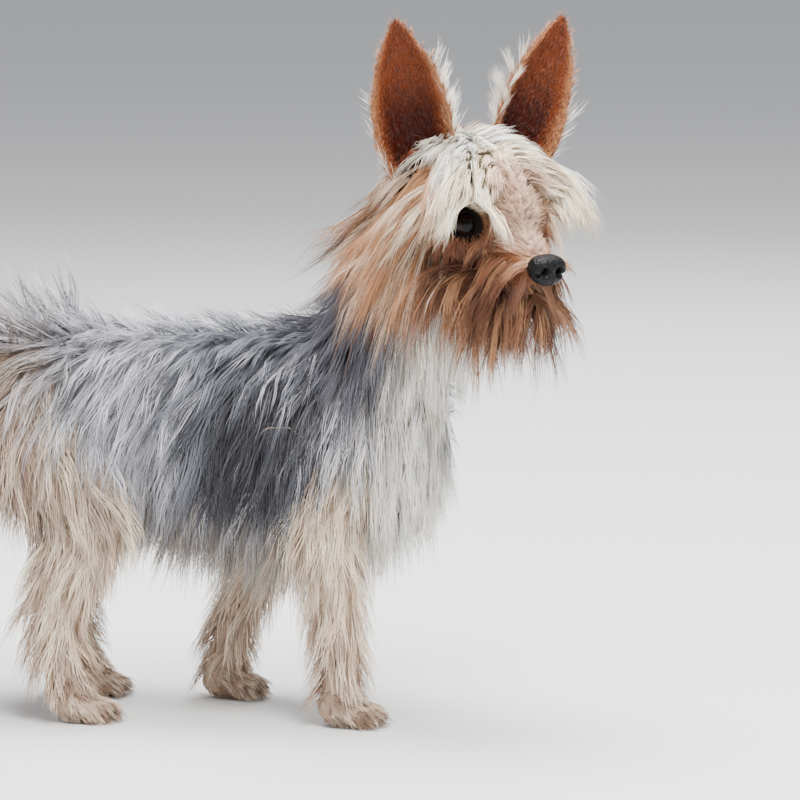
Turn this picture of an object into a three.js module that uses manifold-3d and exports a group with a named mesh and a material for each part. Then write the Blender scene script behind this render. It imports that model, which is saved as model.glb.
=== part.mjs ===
// A life-size Yorkshire terrier, standing with its head turned to its right, as a still display model.
// Millimetres, +X the way the body heads, +Y to the dog's left, +Z up, soles on z = 0.
import * as THREE from "three";
import { mergeVertices } from "three/addons/utils/BufferGeometryUtils.js";
import Module from "manifold-3d";

const wasm = await Module();
wasm.setup();

// Driving dimensions, over the skin and without the coat.
const WITHERS = 209; // height of the back at the shoulders
const SPREAD = 35; // of each foot from the middle plane
const FORE_FOOT = { right: 81, left: 9 }; // how far ahead each forefoot stands
const HIND_FOOT = { right: -64, left: -69 };
const SKULL_AT = [150, -28, 283]; // middle of the skull, between the ears
const HEAD_TURN = -53; // degrees, to the dog's right
const HEAD_DROP = 12; // degrees, nose down
const EYE_R = 8.5;
const EYE_APART = 20.5; // of each eye from the head's middle
const EAR_LENGTH = 84;
const EAR_OUTWARD = { right: 0.42, left: -0.08 }; // how far each ear's cup turns out from straight ahead
const NOSE_AHEAD = 73; // of the nose from the middle of the skull
const GAP = 0.3; // between parts that meet
const GRID = 0.002; // that corners are rounded to
const CORE = 0.4; // share of the coat's depth that is solid under the locks
const FACE_CORE = 0.12; // the same on the head and jaw
const ROOT = 3; // how deep a lock is rooted in the core
const STIFLE = 104; // height where the thigh ends
const FLOOR_CLEAR = 1; // that hair keeps over the floor

const vec = (x, y, z) => new THREE.Vector3(x, y, z);
const mix = THREE.MathUtils.lerp;
const radians = THREE.MathUtils.degToRad;
const DOWN = vec(0, 0, -1);
const AHEAD = vec(1, 0, 0);
const UP = vec(0, 0, 1);
const SIDES = { right: -1, left: 1 };

// Solids, and how they join.

// A closed geometry as a solid, its shared vertices merged.
function solid(geometry) {
  const bare = new THREE.BufferGeometry();
  bare.setAttribute("position", geometry.getAttribute("position"));
  bare.setIndex(geometry.index);
  const merged = mergeVertices(bare, 1e-4);
  return new wasm.Manifold(
    new wasm.Mesh({
      numProp: 3,
      vertProperties: new Float32Array(merged.attributes.position.array),
      triVerts: new Uint32Array(merged.index.array),
    }),
  );
}

// The pieces as one solid, less what the cutters take. Its largest closed surface is kept.
function fused(pieces, cutters = []) {
  let whole = pieces[0];
  for (const piece of pieces.slice(1)) whole = whole.add(piece);
  for (const cutter of cutters) whole = whole.subtract(cutter);
  return whole.decompose().sort((a, b) => b.volume() - a.volume())[0];
}

// The solid's geometry on a fine grid. Corners that meet there are one, and faces that fold flat
// onto one another go.
function welded(body) {
  const mesh = body.getMesh();
  const points = [];
  const known = new Map();
  const ids = Array.from({ length: mesh.numVert }, (_, i) => {
    const at = [0, 1, 2].map((k) => Math.round(mesh.vertProperties[mesh.numProp * i + k] / GRID));
    const key = at.join();
    if (!known.has(key)) {
      known.set(key, known.size);
      points.push(vec(...at).multiplyScalar(GRID));
    }
    return known.get(key);
  });
  const faces = new Map();
  for (let i = 0; i < mesh.triVerts.length; i += 3) {
    const face = [0, 1, 2].map((k) => ids[mesh.triVerts[i + k]]);
    if (new Set(face).size < 3) continue;
    const key = [...face].sort((a, b) => a - b).join();
    if (faces.has(key)) faces.delete(key);
    else faces.set(key, face);
  }
  const index = parted([...faces.values()], points).flat();
  return new THREE.BufferGeometry().setFromPoints(points).setIndex(index);
}

// Four faces on one edge are two sheets that touch. One sheet gets a corner of its own on that edge.
function parted(faces, points) {
  const edges = new Map();
  for (const face of faces)
    for (let k = 0; k < 3; k++) {
      const key = [face[k], face[(k + 1) % 3]].sort((a, b) => a - b).join();
      edges.set(key, [...(edges.get(key) ?? []), face]);
    }
  for (const [key, around] of edges) {
    if (around.length < 4) continue;
    const [a, b] = key.split(",").map(Number);
    const runs = (face) => face[(face.indexOf(a) + 1) % 3] === b;
    const corner = points[a].clone().lerp(points[b], 0.5).addScalar(2 * GRID);
    points.push(corner);
    for (const face of [around.find(runs), around.find((other) => !runs(other))]) {
      const half = face.map((id) => (id === a ? points.length - 1 : id));
      face[face.indexOf(b)] = points.length - 1;
      faces.push(half);
    }
  }
  return faces;
}

// Rings of points, closed by a fan to a point at each end, as a closed geometry facing out.
function skinned(rings, start, end) {
  const sides = rings[0].length;
  const points = rings.flat().concat([start, end]);
  const index = [];
  const last = (rings.length - 1) * sides;
  for (let i = 0; i < sides; i++) {
    const next = (i + 1) % sides;
    for (let k = 0; k < last; k += sides) {
      index.push(k + i, k + next, k + sides + next);
      index.push(k + i, k + sides + next, k + sides + i);
    }
    index.push(next, i, points.length - 2);
    index.push(last + i, last + next, points.length - 1);
  }
  const geometry = new THREE.BufferGeometry().setFromPoints(points);
  geometry.setIndex(index);
  return solid(geometry);
}

// A ball stretched along three ways: half lengths along ahead, across and upward.
function ellipsoid(centre, ahead, across, upward, sizes, around = 16, over = 10) {
  const geometry = new THREE.SphereGeometry(1, around, over);
  const place = new THREE.Matrix4().makeBasis(
    ahead.clone().multiplyScalar(sizes[0]),
    across.clone().multiplyScalar(sizes[1]),
    upward.clone().multiplyScalar(sizes[2]),
  );
  place.setPosition(centre);
  return solid(geometry.applyMatrix4(place));
}

// A part of the body: elliptical rings along a smooth spine.
// A station is [point, half width, half height, coat depth]. The reference sets the way up of a ring.
class Limb {
  constructor(reference, stations, core = CORE) {
    this.reference = reference;
    this.core = core;
    this.spine = new THREE.CatmullRomCurve3(stations.map((s) => s[0]));
    this.sizes = new THREE.CatmullRomCurve3(stations.map((s) => vec(s[1], s[2], s[3])));
  }

  ring(t) {
    const along = this.spine.getTangent(t);
    const across = vec(0, 0, 0).crossVectors(this.reference, along).normalize();
    const upward = vec(0, 0, 0).crossVectors(along, across);
    const size = this.sizes.getPoint(t);
    const centre = this.spine.getPoint(t);
    return { centre, along, across, upward, wide: size.x, high: size.y, coat: size.z };
  }

  // The point a height over the skin, at turn degrees from the upward way.
  at(t, turn, height) {
    const r = this.ring(t);
    const point = r.centre.clone();
    point.addScaledVector(r.across, Math.sin(radians(turn)) * (r.wide + height));
    point.addScaledVector(r.upward, Math.cos(radians(turn)) * (r.high + height));
    return point;
  }

  // The closed tube over the skin, with a share of the coat's depth and a margin.
  tube(steps, sides, share, margin) {
    const rings = [];
    for (let k = 0; k <= steps; k++) {
      const over = this.ring(k / steps).coat * share + margin;
      const turns = [...Array(sides).keys()].map((i) => (-360 * (i + 0.5)) / sides);
      rings.push(turns.map((turn) => this.at(k / steps, turn, over)));
    }
    const [first, final] = [this.ring(0), this.ring(1)];
    const start = first.centre.clone().addScaledVector(first.along, -0.3 * first.high - margin);
    const end = final.centre.clone().addScaledVector(final.along, 0.3 * final.high + margin);
    return skinned(rings, start, end);
  }

  // Where a point stands against the nearest ring: its share along, the way out, and its scaled distance.
  near(point, height) {
    let best = 0;
    let least = Infinity;
    for (let k = 0; k <= 40; k++) {
      const distance = this.spine.getPoint(k / 40).distanceToSquared(point);
      if (distance < least) {
        least = distance;
        best = k / 40;
      }
    }
    const r = this.ring(best);
    const away = point.clone().sub(r.centre);
    const a = away.dot(r.across) / (r.wide + height);
    const b = away.dot(r.upward) / (r.high + height);
    const c = away.dot(r.along);
    const beyond = (best === 0 && c < 0) || (best === 1 && c > 0) ? Math.abs(c) / (r.high + height) : 0;
    const out = r.across.clone().multiplyScalar(a).addScaledVector(r.upward, b).normalize();
    return { t: best, ring: r, out, ratio: Math.hypot(a, b, beyond), away, inline: c };
  }

  // Moves a point straight out of the part until it stands a height over the skin.
  clear(point, height) {
    const n = this.near(point, height);
    if (n.ratio < 1 && n.ratio > 0.05) {
      const radial = n.away.addScaledVector(n.ring.along, -n.inline);
      point.addScaledVector(radial, 1 / n.ratio - 1);
    }
    return n;
  }
}

// Coat locks.

// Repeatable draws between 0 and 1.
function draws(seed) {
  let state = seed;
  return () => {
    state = (state * 1664525 + 1013904223) % 4294967296;
    return state / 4294967296;
  };
}

// A flat, tapered lock along a path, broadest past its root and pointed at its tip.
function lock(path, outward, wide, thick, margin) {
  const last = path.length - 1;
  const rings = path.slice(0, last).map((point, k) => {
    const share = k === 0 ? 0.78 : (1 - (k - 1) / (last - 1)) ** 0.7;
    const along = path[k + 1].clone().sub(path[Math.max(k - 1, 0)]).normalize();
    const across = vec(0, 0, 0).crossVectors(outward[k], along).normalize();
    const upward = vec(0, 0, 0).crossVectors(along, across);
    const half = (wide * share) / 2 + margin;
    const flat = (thick * (1 - 0.15 * k)) / 2 + margin;
    const corners = [upward.clone().multiplyScalar(flat), across.clone().multiplyScalar(-half)];
    corners.push(corners[0].clone().negate(), corners[1].clone().negate());
    return corners.map((corner) => corner.add(point));
  });
  const start = path[0].clone().sub(path[1]).setLength(margin + 0.5).add(path[0]);
  const end = path[last].clone().sub(path[last - 1]).setLength(margin + 0.01).add(path[last]);
  return skinned(rings, start, end);
}

// A lock's path from its root in the core: along the lie, drooping, clear of all that is under it.
function strand(limb, t, turn, row, under, length, rand) {
  const ring = limb.ring(t);
  const side = Math.sign(turn) || (rand() < 0.5 ? -1 : 1);
  const radial = limb.at(t, turn, 1).sub(limb.at(t, turn, 0)).normalize();
  const around = limb.at(t, turn + side, 0).sub(limb.at(t, turn - side, 0)).normalize();
  const way = ring.along.clone().multiplyScalar(-row.back);
  way.addScaledVector(around, row.down).addScaledVector(radial, row.lift ?? 0.2).normalize();
  way.addScaledVector(ring.along, (rand() - 0.5) * 0.35).normalize();
  const path = [limb.at(t, turn, ring.coat * limb.core - ROOT)];
  const outward = [radial];
  const steps = row.steps ?? 3;
  for (let k = 1; k <= steps; k++) {
    way.lerp(DOWN, (row.fall * k) / (steps + 1)).normalize();
    const point = path[k - 1].clone().addScaledVector(way, length / steps);
    for (const other of under) other.clear(point, other.near(point, 0).ring.coat * other.core + 2);
    const share = mix(limb.core, 0.9, Math.min(1, (1.3 * k) / steps));
    const near = limb.clear(point, ring.coat * (row.high ?? 1) * share);
    point.z = Math.max(point.z, FLOOR_CLEAR + 1);
    way.copy(point).sub(path[k - 1]).normalize();
    path.push(point);
    outward.push(near.out);
  }
  return { path, outward };
}

// Rows of locks on both sides of a part. A row runs from one share of the part's length to another.
function coat(limb, rows, seed, margin, under = []) {
  const rand = draws(seed);
  const locks = [];
  for (const row of rows)
    for (const side of row.turn === 0 || row.turn === 180 ? [1] : [-1, 1])
      for (let i = 0; i < row.count; i++) {
        const t = mix(row.from, row.to, (i + 0.5 + (rand() - 0.5) * 0.5) / row.count);
        const turn = side * row.turn + (rand() - 0.5) * 12;
        const length = row.length * (0.85 + 0.3 * rand());
        const wide = row.wide * (0.85 + 0.3 * rand());
        const { path, outward } = strand(limb, t, turn, row, under, length, rand);
        locks.push(lock(path, outward, wide, row.thick ?? 3, margin));
      }
  return locks;
}

// The head's own frame: ahead along the muzzle, left and up from the middle of the skull.
const turned = new THREE.Euler(0, radians(HEAD_DROP), radians(HEAD_TURN), "ZYX");
const FACE = { ahead: vec(1, 0, 0), left: vec(0, 1, 0), up: vec(0, 0, 1) };
for (const way of Object.values(FACE)) way.applyEuler(turned);
function onHead(ahead, left, up) {
  const point = vec(...SKULL_AT);
  point.addScaledVector(FACE.ahead, ahead);
  return point.addScaledVector(FACE.left, left).addScaledVector(FACE.up, up);
}

// The bare body.

const torso = new Limb(UP, [
  [vec(-128, 0, 186), 10, 11, 12],
  [vec(-116, 0, WITHERS - 33), 29, 29, 15],
  [vec(-84, 0, WITHERS - 40), 38, 39, 15],
  [vec(-42, 0, WITHERS - 42), 38, 41, 14],
  [vec(2, 0, WITHERS - 49), 42, 48, 13],
  [vec(46, 0, WITHERS - 54), 45, 54, 13],
  [vec(86, 0, WITHERS - 53), 41, 52, 15],
  [vec(115, 0, WITHERS - 48), 30, 38, 19],
  [vec(130, 0, WITHERS - 46), 12, 15, 20],
]);

const neck = new Limb(UP, [
  [vec(88, 0, 176), 33, 36, 14],
  [vec(103, -4, 206), 31, 33, 18],
  [vec(118, -11, 236), 28, 30, 21],
  [vec(132, -18, 262), 25, 27, 20],
]);

const head = new Limb(FACE.up, [
  [onHead(-39, 0, -2), 11, 12, 28],
  [onHead(-30, 0, -1), 24, 25, 32],
  [onHead(-12, 0, 2), 31, 30, 34],
  [onHead(8, 0, 2), 32, 30, 30],
  [onHead(26, 0, -4), 25, 25, 20],
  [onHead(41, 0, -14), 15, 15, 13],
  [onHead(56, 0, -19), 12.5, 11, 12],
  [onHead(68, 0, -20), 10, 8, 10],
], FACE_CORE);

const jaw = new Limb(FACE.up, [
  [onHead(16, 0, -29), 14, 5, 13],
  [onHead(34, 0, -32), 12, 6, 15],
  [onHead(52, 0, -33), 9.5, 5.5, 16],
  [onHead(63, 0, -32), 6, 4, 13],
], FACE_CORE);

const tail = new Limb(AHEAD, [
  [vec(-118, 0, 194), 9, 9, 9],
  [vec(-141, 2, 213), 7.5, 7.5, 12],
  [vec(-156, 4, 240), 6, 6, 13],
  [vec(-160, 5, 270), 4.5, 4.5, 12],
  [vec(-156, 5, 288), 2.5, 2.5, 9],
]);

// The legs, each from inside the trunk down to the wrist or ankle.
const legs = {};
const elbow = { right: 71, left: 52 };
const shoulder = { right: 82, left: 78 };
for (const [side, sign] of Object.entries(SIDES)) {
  const foot = FORE_FOOT[side];
  const [knee, top] = [elbow[side], shoulder[side]];
  legs[`foreleg_${side}`] = new Limb(AHEAD, [
    [vec(top, sign * 28, 158), 14, 24, 12],
    [vec(knee, sign * SPREAD, 116), 13, 17, 14],
    [vec(mix(knee, foot, 0.5), sign * SPREAD, 80), 10.5, 12, 14],
    [vec(mix(knee, foot, 0.85), sign * SPREAD, 46), 9, 9.5, 14],
    [vec(foot - 2, sign * SPREAD, 19), 9.5, 10.5, 12],
  ]);
  const hind = HIND_FOOT[side];
  legs[`thigh_${side}`] = new Limb(AHEAD, [
    [vec(hind - 22, sign * 20, 178), 18, 29, 13],
    [vec(hind - 14, sign * 33, 146), 17, 29, 13],
    [vec(hind + 6, sign * SPREAD, STIFLE + 12), 14, 21, 14],
    [vec(hind + 6, sign * SPREAD, STIFLE - 6), 11, 16, 13],
  ]);
  legs[`hindleg_${side}`] = new Limb(AHEAD, [
    [vec(hind + 4, sign * SPREAD, STIFLE + 4), 11, 16, 13],
    [vec(hind - 3, sign * SPREAD, 82), 10.5, 14, 14],
    [vec(hind - 11, sign * SPREAD, 54), 8.5, 11, 14],
    [vec(hind - 3, sign * SPREAD, 19), 9, 10.5, 12],
  ]);
}

// Rows of locks. Turn is in degrees from the part's upper side, sizes are in millimetres, and back, down,
// fall and lift say how far a lock runs back along the part, round it, to the floor and out from it.
const TORSO_ROWS = [
  { turn: 14, from: 0.1, to: 0.8, count: 6, length: 42, wide: 24, back: 0.5, down: 0.8, fall: 0.3 },
  { turn: 44, from: 0.07, to: 0.86, count: 7, length: 48, wide: 24, back: 0.35, down: 1, fall: 0.5 },
  { turn: 78, from: 0.05, to: 0.92, count: 6, length: 54, wide: 28, back: 0.3, down: 1, fall: 0.7 },
  { turn: 112, from: 0.1, to: 0.96, count: 6, length: 48, wide: 26, back: 0.25, down: 0.8, fall: 0.9 },
  { turn: 148, from: 0.26, to: 0.86, count: 4, length: 34, wide: 22, back: 0.3, down: 0.4, fall: 1 },
  { turn: 40, from: 0.94, to: 0.99, count: 1, length: 46, wide: 20, back: -0.5, down: 1, fall: 0.8 },
  { turn: 0, from: 0.04, to: 0.08, count: 1, length: 36, wide: 18, back: 1, down: 0.2, fall: 0.7 },
  { turn: 60, from: 0.02, to: 0.06, count: 1, length: 44, wide: 20, back: 0.8, down: 0.6, fall: 0.8 },
  { turn: 0, from: 0.96, to: 0.99, count: 1, length: 50, wide: 20, back: -0.6, down: 0.1, fall: 1 },
  { turn: 84, from: 0.94, to: 0.98, count: 1, length: 46, wide: 24, back: -0.3, down: 0.6, fall: 0.9 },
  { turn: 140, from: 0.9, to: 0.97, count: 1, length: 46, wide: 26, back: -0.2, down: 0.3, fall: 1 },
  { turn: 180, from: 0.35, to: 0.85, count: 2, length: 30, wide: 28, back: 0.6, down: 0, fall: 0.8 },
];
const NECK_ROWS = [
  { turn: 0, from: 0.1, to: 0.8, count: 2, length: 50, wide: 30, back: 1, down: 0.1, fall: 0.2 },
  { turn: 30, from: 0.1, to: 0.6, count: 1, length: 56, wide: 34, back: 1, down: 0.5, fall: 0.3 },
  { turn: 92, from: 0.1, to: 0.6, count: 1, length: 60, wide: 38, back: 1, down: 0.5, fall: 0.5 },
  { turn: 150, from: 0, to: 0.5, count: 1, length: 58, wide: 38, back: 1, down: 0.2, fall: 0.8 },
];
const HEAD_ROWS = [
  { turn: 12, from: 0.44, to: 0.6, count: 2, length: 34, wide: 16,
    back: 0.1, down: 1, fall: 0.2, high: 0.4 },
  { turn: 14, from: 0.1, to: 0.5, count: 2, length: 46, wide: 20,
    back: 0.7, down: 0.6, fall: 0.2, high: 0.45 },
  { turn: 48, from: 0.36, to: 0.5, count: 1, length: 44, wide: 17,
    back: 0.3, down: 1, fall: 0.3, high: 0.6 },
  { turn: 52, from: 0.04, to: 0.16, count: 1, length: 56, wide: 26, back: 0.8, down: 0.6, fall: 0.6 },
  { turn: 86, from: 0.04, to: 0.54, count: 3, length: 62, wide: 26,
    back: 0.4, down: 1, fall: 0.6, lift: 0.6 },
  { turn: 120, from: 0.08, to: 0.64, count: 3, length: 58, wide: 25,
    back: 0.3, down: 0.8, fall: 0.8, lift: 0.4 },
  { turn: 158, from: 0.3, to: 0.5, count: 1, length: 46, wide: 24, back: 0.2, down: 0.4, fall: 1 },
  { turn: 30, from: 0.49, to: 0.6, count: 2, length: 34, wide: 8,
    back: -0.9, down: 0.7, fall: 0.8, lift: 0.5 },
  { turn: 72, from: 0.72, to: 0.95, count: 2, length: 36, wide: 12,
    back: 0.3, down: 1, fall: 0.7, lift: 0.3 },
  { turn: 112, from: 0.7, to: 0.97, count: 2, length: 40, wide: 13,
    back: 0.1, down: 1, fall: 0.9, lift: 0.3 },
];
const JAW_ROWS = [
  { turn: 118, from: 0.35, to: 1, count: 2, length: 40, wide: 15, back: 0, down: 0.6, fall: 0.9 },
  { turn: 165, from: 0.4, to: 1, count: 1, length: 44, wide: 18, back: -0.2, down: 0.2, fall: 1 },
];
const TAIL_ROWS = [
  { turn: 40, from: 0.1, to: 0.95, count: 2, length: 34, wide: 15, back: -1, down: 0.2, fall: 0.3 },
  { turn: 100, from: 0.2, to: 0.95, count: 1, length: 38, wide: 16, back: -0.8, down: 0.3, fall: 0.6 },
  { turn: 160, from: 0.15, to: 0.95, count: 2, length: 42, wide: 14, back: -0.6, down: 0.3, fall: 0.9 },
];
const LEG_ROWS = [
  { turn: 35, from: 0.2, to: 0.8, count: 2, length: 50, wide: 24,
    back: -1, down: 0, fall: 0.8, lift: 0.1 },
  { turn: 100, from: 0.15, to: 0.6, count: 1, length: 56, wide: 27,
    back: -1, down: 0.1, fall: 0.8, lift: 0.1 },
  { turn: 150, from: 0.15, to: 0.9, count: 2, length: 50, wide: 24,
    back: -1, down: 0.2, fall: 0.6, lift: 0.4 },
];
const THIGH_ROWS = [
  { turn: 35, from: 0.3, to: 0.7, count: 1, length: 46, wide: 26,
    back: -1, down: 0, fall: 0.8, lift: 0.1 },
  { turn: 95, from: 0.2, to: 0.7, count: 1, length: 52, wide: 30,
    back: -1, down: 0.1, fall: 0.8, lift: 0.1 },
  { turn: 155, from: 0.2, to: 0.8, count: 1, length: 52, wide: 28,
    back: -1, down: 0.2, fall: 0.6, lift: 0.4 },
];

// Steps and sides of each part's core.
const FACETS = { torso: [14, 14], neck: [4, 12], head: [14, 16], jaw: [5, 8], tail: [7, 6], leg: [5, 8] };

// The eyeballs, set in the skull, looking a little outward.
function eyeball(sign, grown) {
  const r = EYE_R + grown;
  const at = onHead(25, sign * EYE_APART, -4);
  return ellipsoid(at, FACE.ahead, FACE.left, FACE.up, [r, r, r], 12, 8);
}

// The bare nose leather: a rounded wedge with two nostrils that curl outward.
function noseLeather(grown) {
  const at = onHead(NOSE_AHEAD, 0, -17);
  const size = [6.5 + grown, 10 + grown, 8 + grown];
  const body = ellipsoid(at, FACE.ahead, FACE.left, FACE.up, size, 12, 7);
  if (grown > 0) return body;
  const holes = Object.values(SIDES).map((sign) => {
    const hole = onHead(NOSE_AHEAD + 6, sign * 4, -16);
    return ellipsoid(hole, FACE.ahead, FACE.left, FACE.up, [4, 1.7, 2.1], 6, 4);
  });
  return fused([body], holes);
}

// A lid round each eye, with the gap between them cut so that the eyeball shows.
function lids(sign, margin) {
  const r = EYE_R + 2.2 + margin;
  const at = onHead(24.5, sign * (EYE_APART - 0.5), -4);
  return ellipsoid(at, FACE.ahead, FACE.left, FACE.up, [r, r, r], 12, 8);
}
function lidGap(sign) {
  const ahead = FACE.ahead.clone().addScaledVector(FACE.left, sign * 0.45).normalize();
  const across = vec(0, 0, 0).crossVectors(FACE.up, ahead).normalize();
  const upward = vec(0, 0, 0).crossVectors(ahead, across);
  const centre = onHead(25, sign * EYE_APART, -4).addScaledVector(ahead, EYE_R + 12);
  return ellipsoid(centre, ahead, across, upward, [16, 10, 7.6], 12, 8);
}

// The closed mouth: a slit between the lips, open round the front and shut at the back.
function mouthLine() {
  return ellipsoid(onHead(50, 0, -27.5), FACE.ahead, FACE.left, FACE.up, [20, 22, 0.9], 12, 4);
}

// One upright ear: a leaf-shaped cup of even thickness, widest low down, open forward and outward.
function ear(sign, margin) {
  const base = onHead(-15, sign * 28, 14);
  const tip = onHead(-15, sign * 53, 96);
  const along = tip.clone().sub(base).normalize();
  const outward = sign > 0 ? EAR_OUTWARD.left : EAR_OUTWARD.right;
  const open = FACE.ahead.clone().addScaledVector(FACE.left, sign * outward);
  open.addScaledVector(along, -open.dot(along)).normalize();
  const across = vec(0, 0, 0).crossVectors(along, open);
  const width = new THREE.CatmullRomCurve3([
    vec(0, 16, 84),
    vec(0.2, 21, 72),
    vec(0.45, 21, 58),
    vec(0.7, 16, 48),
    vec(0.9, 7.5, 40),
    vec(1, 1.6, 36),
  ]);
  const thick = 1.2 + margin;
  const rings = [];
  const steps = 7;
  const points = 6;
  for (let k = 0; k <= steps; k++) {
    const station = width.getPoint(k / steps);
    const half = radians(station.z);
    const bend = station.y / Math.sin(half);
    const height = station.x * EAR_LENGTH + (k / steps - 0.5) * 2 * margin;
    const middle = base.clone().addScaledVector(along, height);
    middle.addScaledVector(open, bend * Math.cos(half * 0.6));
    const rim = (angle, radius) => {
      const point = middle.clone().addScaledVector(across, Math.sin(angle) * radius);
      return point.addScaledVector(open, -Math.cos(angle) * radius);
    };
    const spare = margin / bend;
    const angles = [...Array(points).keys()].map((i) => mix(-half - spare, half + spare, i / (points - 1)));
    const outer = angles.map((angle) => rim(angle, bend + thick));
    const inner = angles.map((angle) => rim(angle, Math.max(bend - thick, 0.2))).reverse();
    rings.push([...outer, ...inner].reverse());
  }
  const centreOf = (ring) => ring.reduce((sum, p) => sum.add(p), vec(0, 0, 0)).divideScalar(ring.length);
  const spots = [2, 3, 2 + points, 3 + points];
  const ends = [rings[0], rings.at(-1)].map((ring) => centreOf(spots.map((i) => ring[i])));
  return skinned(rings, ends[0], ends[1].addScaledVector(along, 1));
}

// A paw: four toes over their pads and a heel, flat underneath, with a claw to each toe.
function paw(at, margin) {
  const flat = (x, y, z, sizes) =>
    ellipsoid(at.clone().add(vec(x, y, z)), AHEAD, vec(0, 1, 0), UP, sizes.map((s) => s + margin), 6, 4);
  const parts = [flat(-1, 0, 8.4, [14, 11.5, 11])];
  for (const [k, across] of [-8, -3, 3, 8].entries()) {
    const inner = k === 1 || k === 2;
    parts.push(flat(inner ? 13 : 9, across, 5.2, [8.5, 4.6, 7]));
    const claw = at.clone().add(vec(inner ? 20.5 : 16.5, across, 4.5));
    const size = [4, 1.2, 1.5].map((s) => s + margin);
    parts.push(ellipsoid(claw, vec(0.86, 0, -0.5), vec(0, 1, 0), vec(0.5, 0, 0.86), size, 3, 3));
  }
  const floor = new THREE.BoxGeometry(200, 200, 20);
  floor.translate(at.x, at.y, -10);
  return fused(parts, [solid(floor)]);
}

// The nodes, each cut clear of those that it meets.

const made = (limb, facets, rows, seed, under) => (margin) => [
  limb.tube(...facets, limb.core, margin),
  ...coat(limb, rows, seed, margin, under),
];
const torsoPieces = made(torso, FACETS.torso, TORSO_ROWS, 11, Object.values(legs));
const neckPieces = made(neck, FACETS.neck, NECK_ROWS, 23, [torso]);
const tailPieces = made(tail, FACETS.tail, TAIL_ROWS, 53, [torso]);
const signs = Object.values(SIDES);
const bareHead = (margin) =>
  fused(
    [
      head.tube(...FACETS.head, FACE_CORE, margin),
      jaw.tube(...FACETS.jaw, FACE_CORE, margin),
      ...signs.map((sign) => lids(sign, margin)),
    ],
    margin > 0 ? [] : [mouthLine()],
  );
const headPieces = (margin) => [
  bareHead(margin),
  ...coat(head, HEAD_ROWS, 37, margin, [neck]),
  ...coat(jaw, JAW_ROWS, 46, margin, [neck]),
];
const faceCuts = [noseLeather(GAP), ...signs.map((sign) => eyeball(sign, GAP)), ...signs.map(lidGap)];
const besideTorso = fused(torsoPieces(GAP));
const besideHead = fused(headPieces(GAP));
const besideEars = signs.map((sign) => ear(sign, GAP));

const nodes = {};
nodes.torso = fused(torsoPieces(0));
nodes.neck = fused(neckPieces(0), [besideTorso, besideHead, ...besideEars]);
nodes.head = fused(headPieces(0), [besideTorso, ...faceCuts]);
nodes.nose = noseLeather(0);
nodes.tail = fused(tailPieces(0), [besideTorso]);
for (const [side, sign] of Object.entries(SIDES)) {
  nodes[`eye_${side}`] = eyeball(sign, 0);
  nodes[`ear_${side}`] = fused([ear(sign, 0)], [besideHead]);
  const thigh = legs[`thigh_${side}`];
  const thighPieces = made(thigh, [4, 8], THIGH_ROWS, 83 + sign, []);
  nodes[`thigh_${side}`] = fused(thighPieces(0), [besideTorso]);
  for (const [end, places] of Object.entries({ fore: FORE_FOOT, hind: HIND_FOOT })) {
    const foot = vec(places[side], sign * SPREAD, 0);
    const leg = legs[`${end}leg_${side}`];
    const under = new THREE.BoxGeometry(200, 60, 20);
    under.translate(foot.x, foot.y, FLOOR_CLEAR - 10);
    const cuts = [besideTorso, paw(foot, GAP), solid(under)];
    if (end === "hind") cuts.push(fused(thighPieces(GAP)));
    nodes[`${end}leg_${side}`] = fused(made(leg, FACETS.leg, LEG_ROWS, 61 + sign, [])(0), cuts);
    nodes[`${end}paw_${side}`] = paw(foot, 0);
  }
}

// The look of each node.
const LOOKS = {
  torso: [0x6f7480, 0.75],
  neck: [0x4a4b50, 0.75],
  head: [0xd9b184, 0.75],
  nose: [0x17181c, 0.35],
  eye: [0x0d0a08, 0.08],
  ear: [0x8c4f2c, 0.7],
  foreleg: [0xd8bf9c, 0.75],
  thigh: [0xb9a588, 0.75],
  hindleg: [0xd8bf9c, 0.75],
  forepaw: [0xcaa77c, 0.75],
  hindpaw: [0xcaa77c, 0.75],
  tail: [0x5b5f69, 0.75],
};

const dog = new THREE.Group();
for (const [name, body] of Object.entries(nodes)) {
  const [color, roughness] = LOOKS[name.split("_")[0]];
  const geometry = welded(body);
  const part = new THREE.Mesh(geometry, new THREE.MeshStandardMaterial({ color, roughness, metalness: 0 }));
  part.name = name;
  dog.add(part);
}

// The origin is set under the middle of the whole dog.
const box = new THREE.Box3().setFromObject(dog);
const middle = box.getCenter(vec(0, 0, 0));
dog.position.set(-middle.x, -middle.y, -box.min.z);
dog.updateMatrixWorld(true);

export default dog;
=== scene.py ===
"""A Yorkshire terrier, life size: skin, coat, eyes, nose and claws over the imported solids."""
import math

import bpy
import numpy as np
from mathutils import Matrix, Vector
from mathutils.kdtree import KDTree


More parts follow.
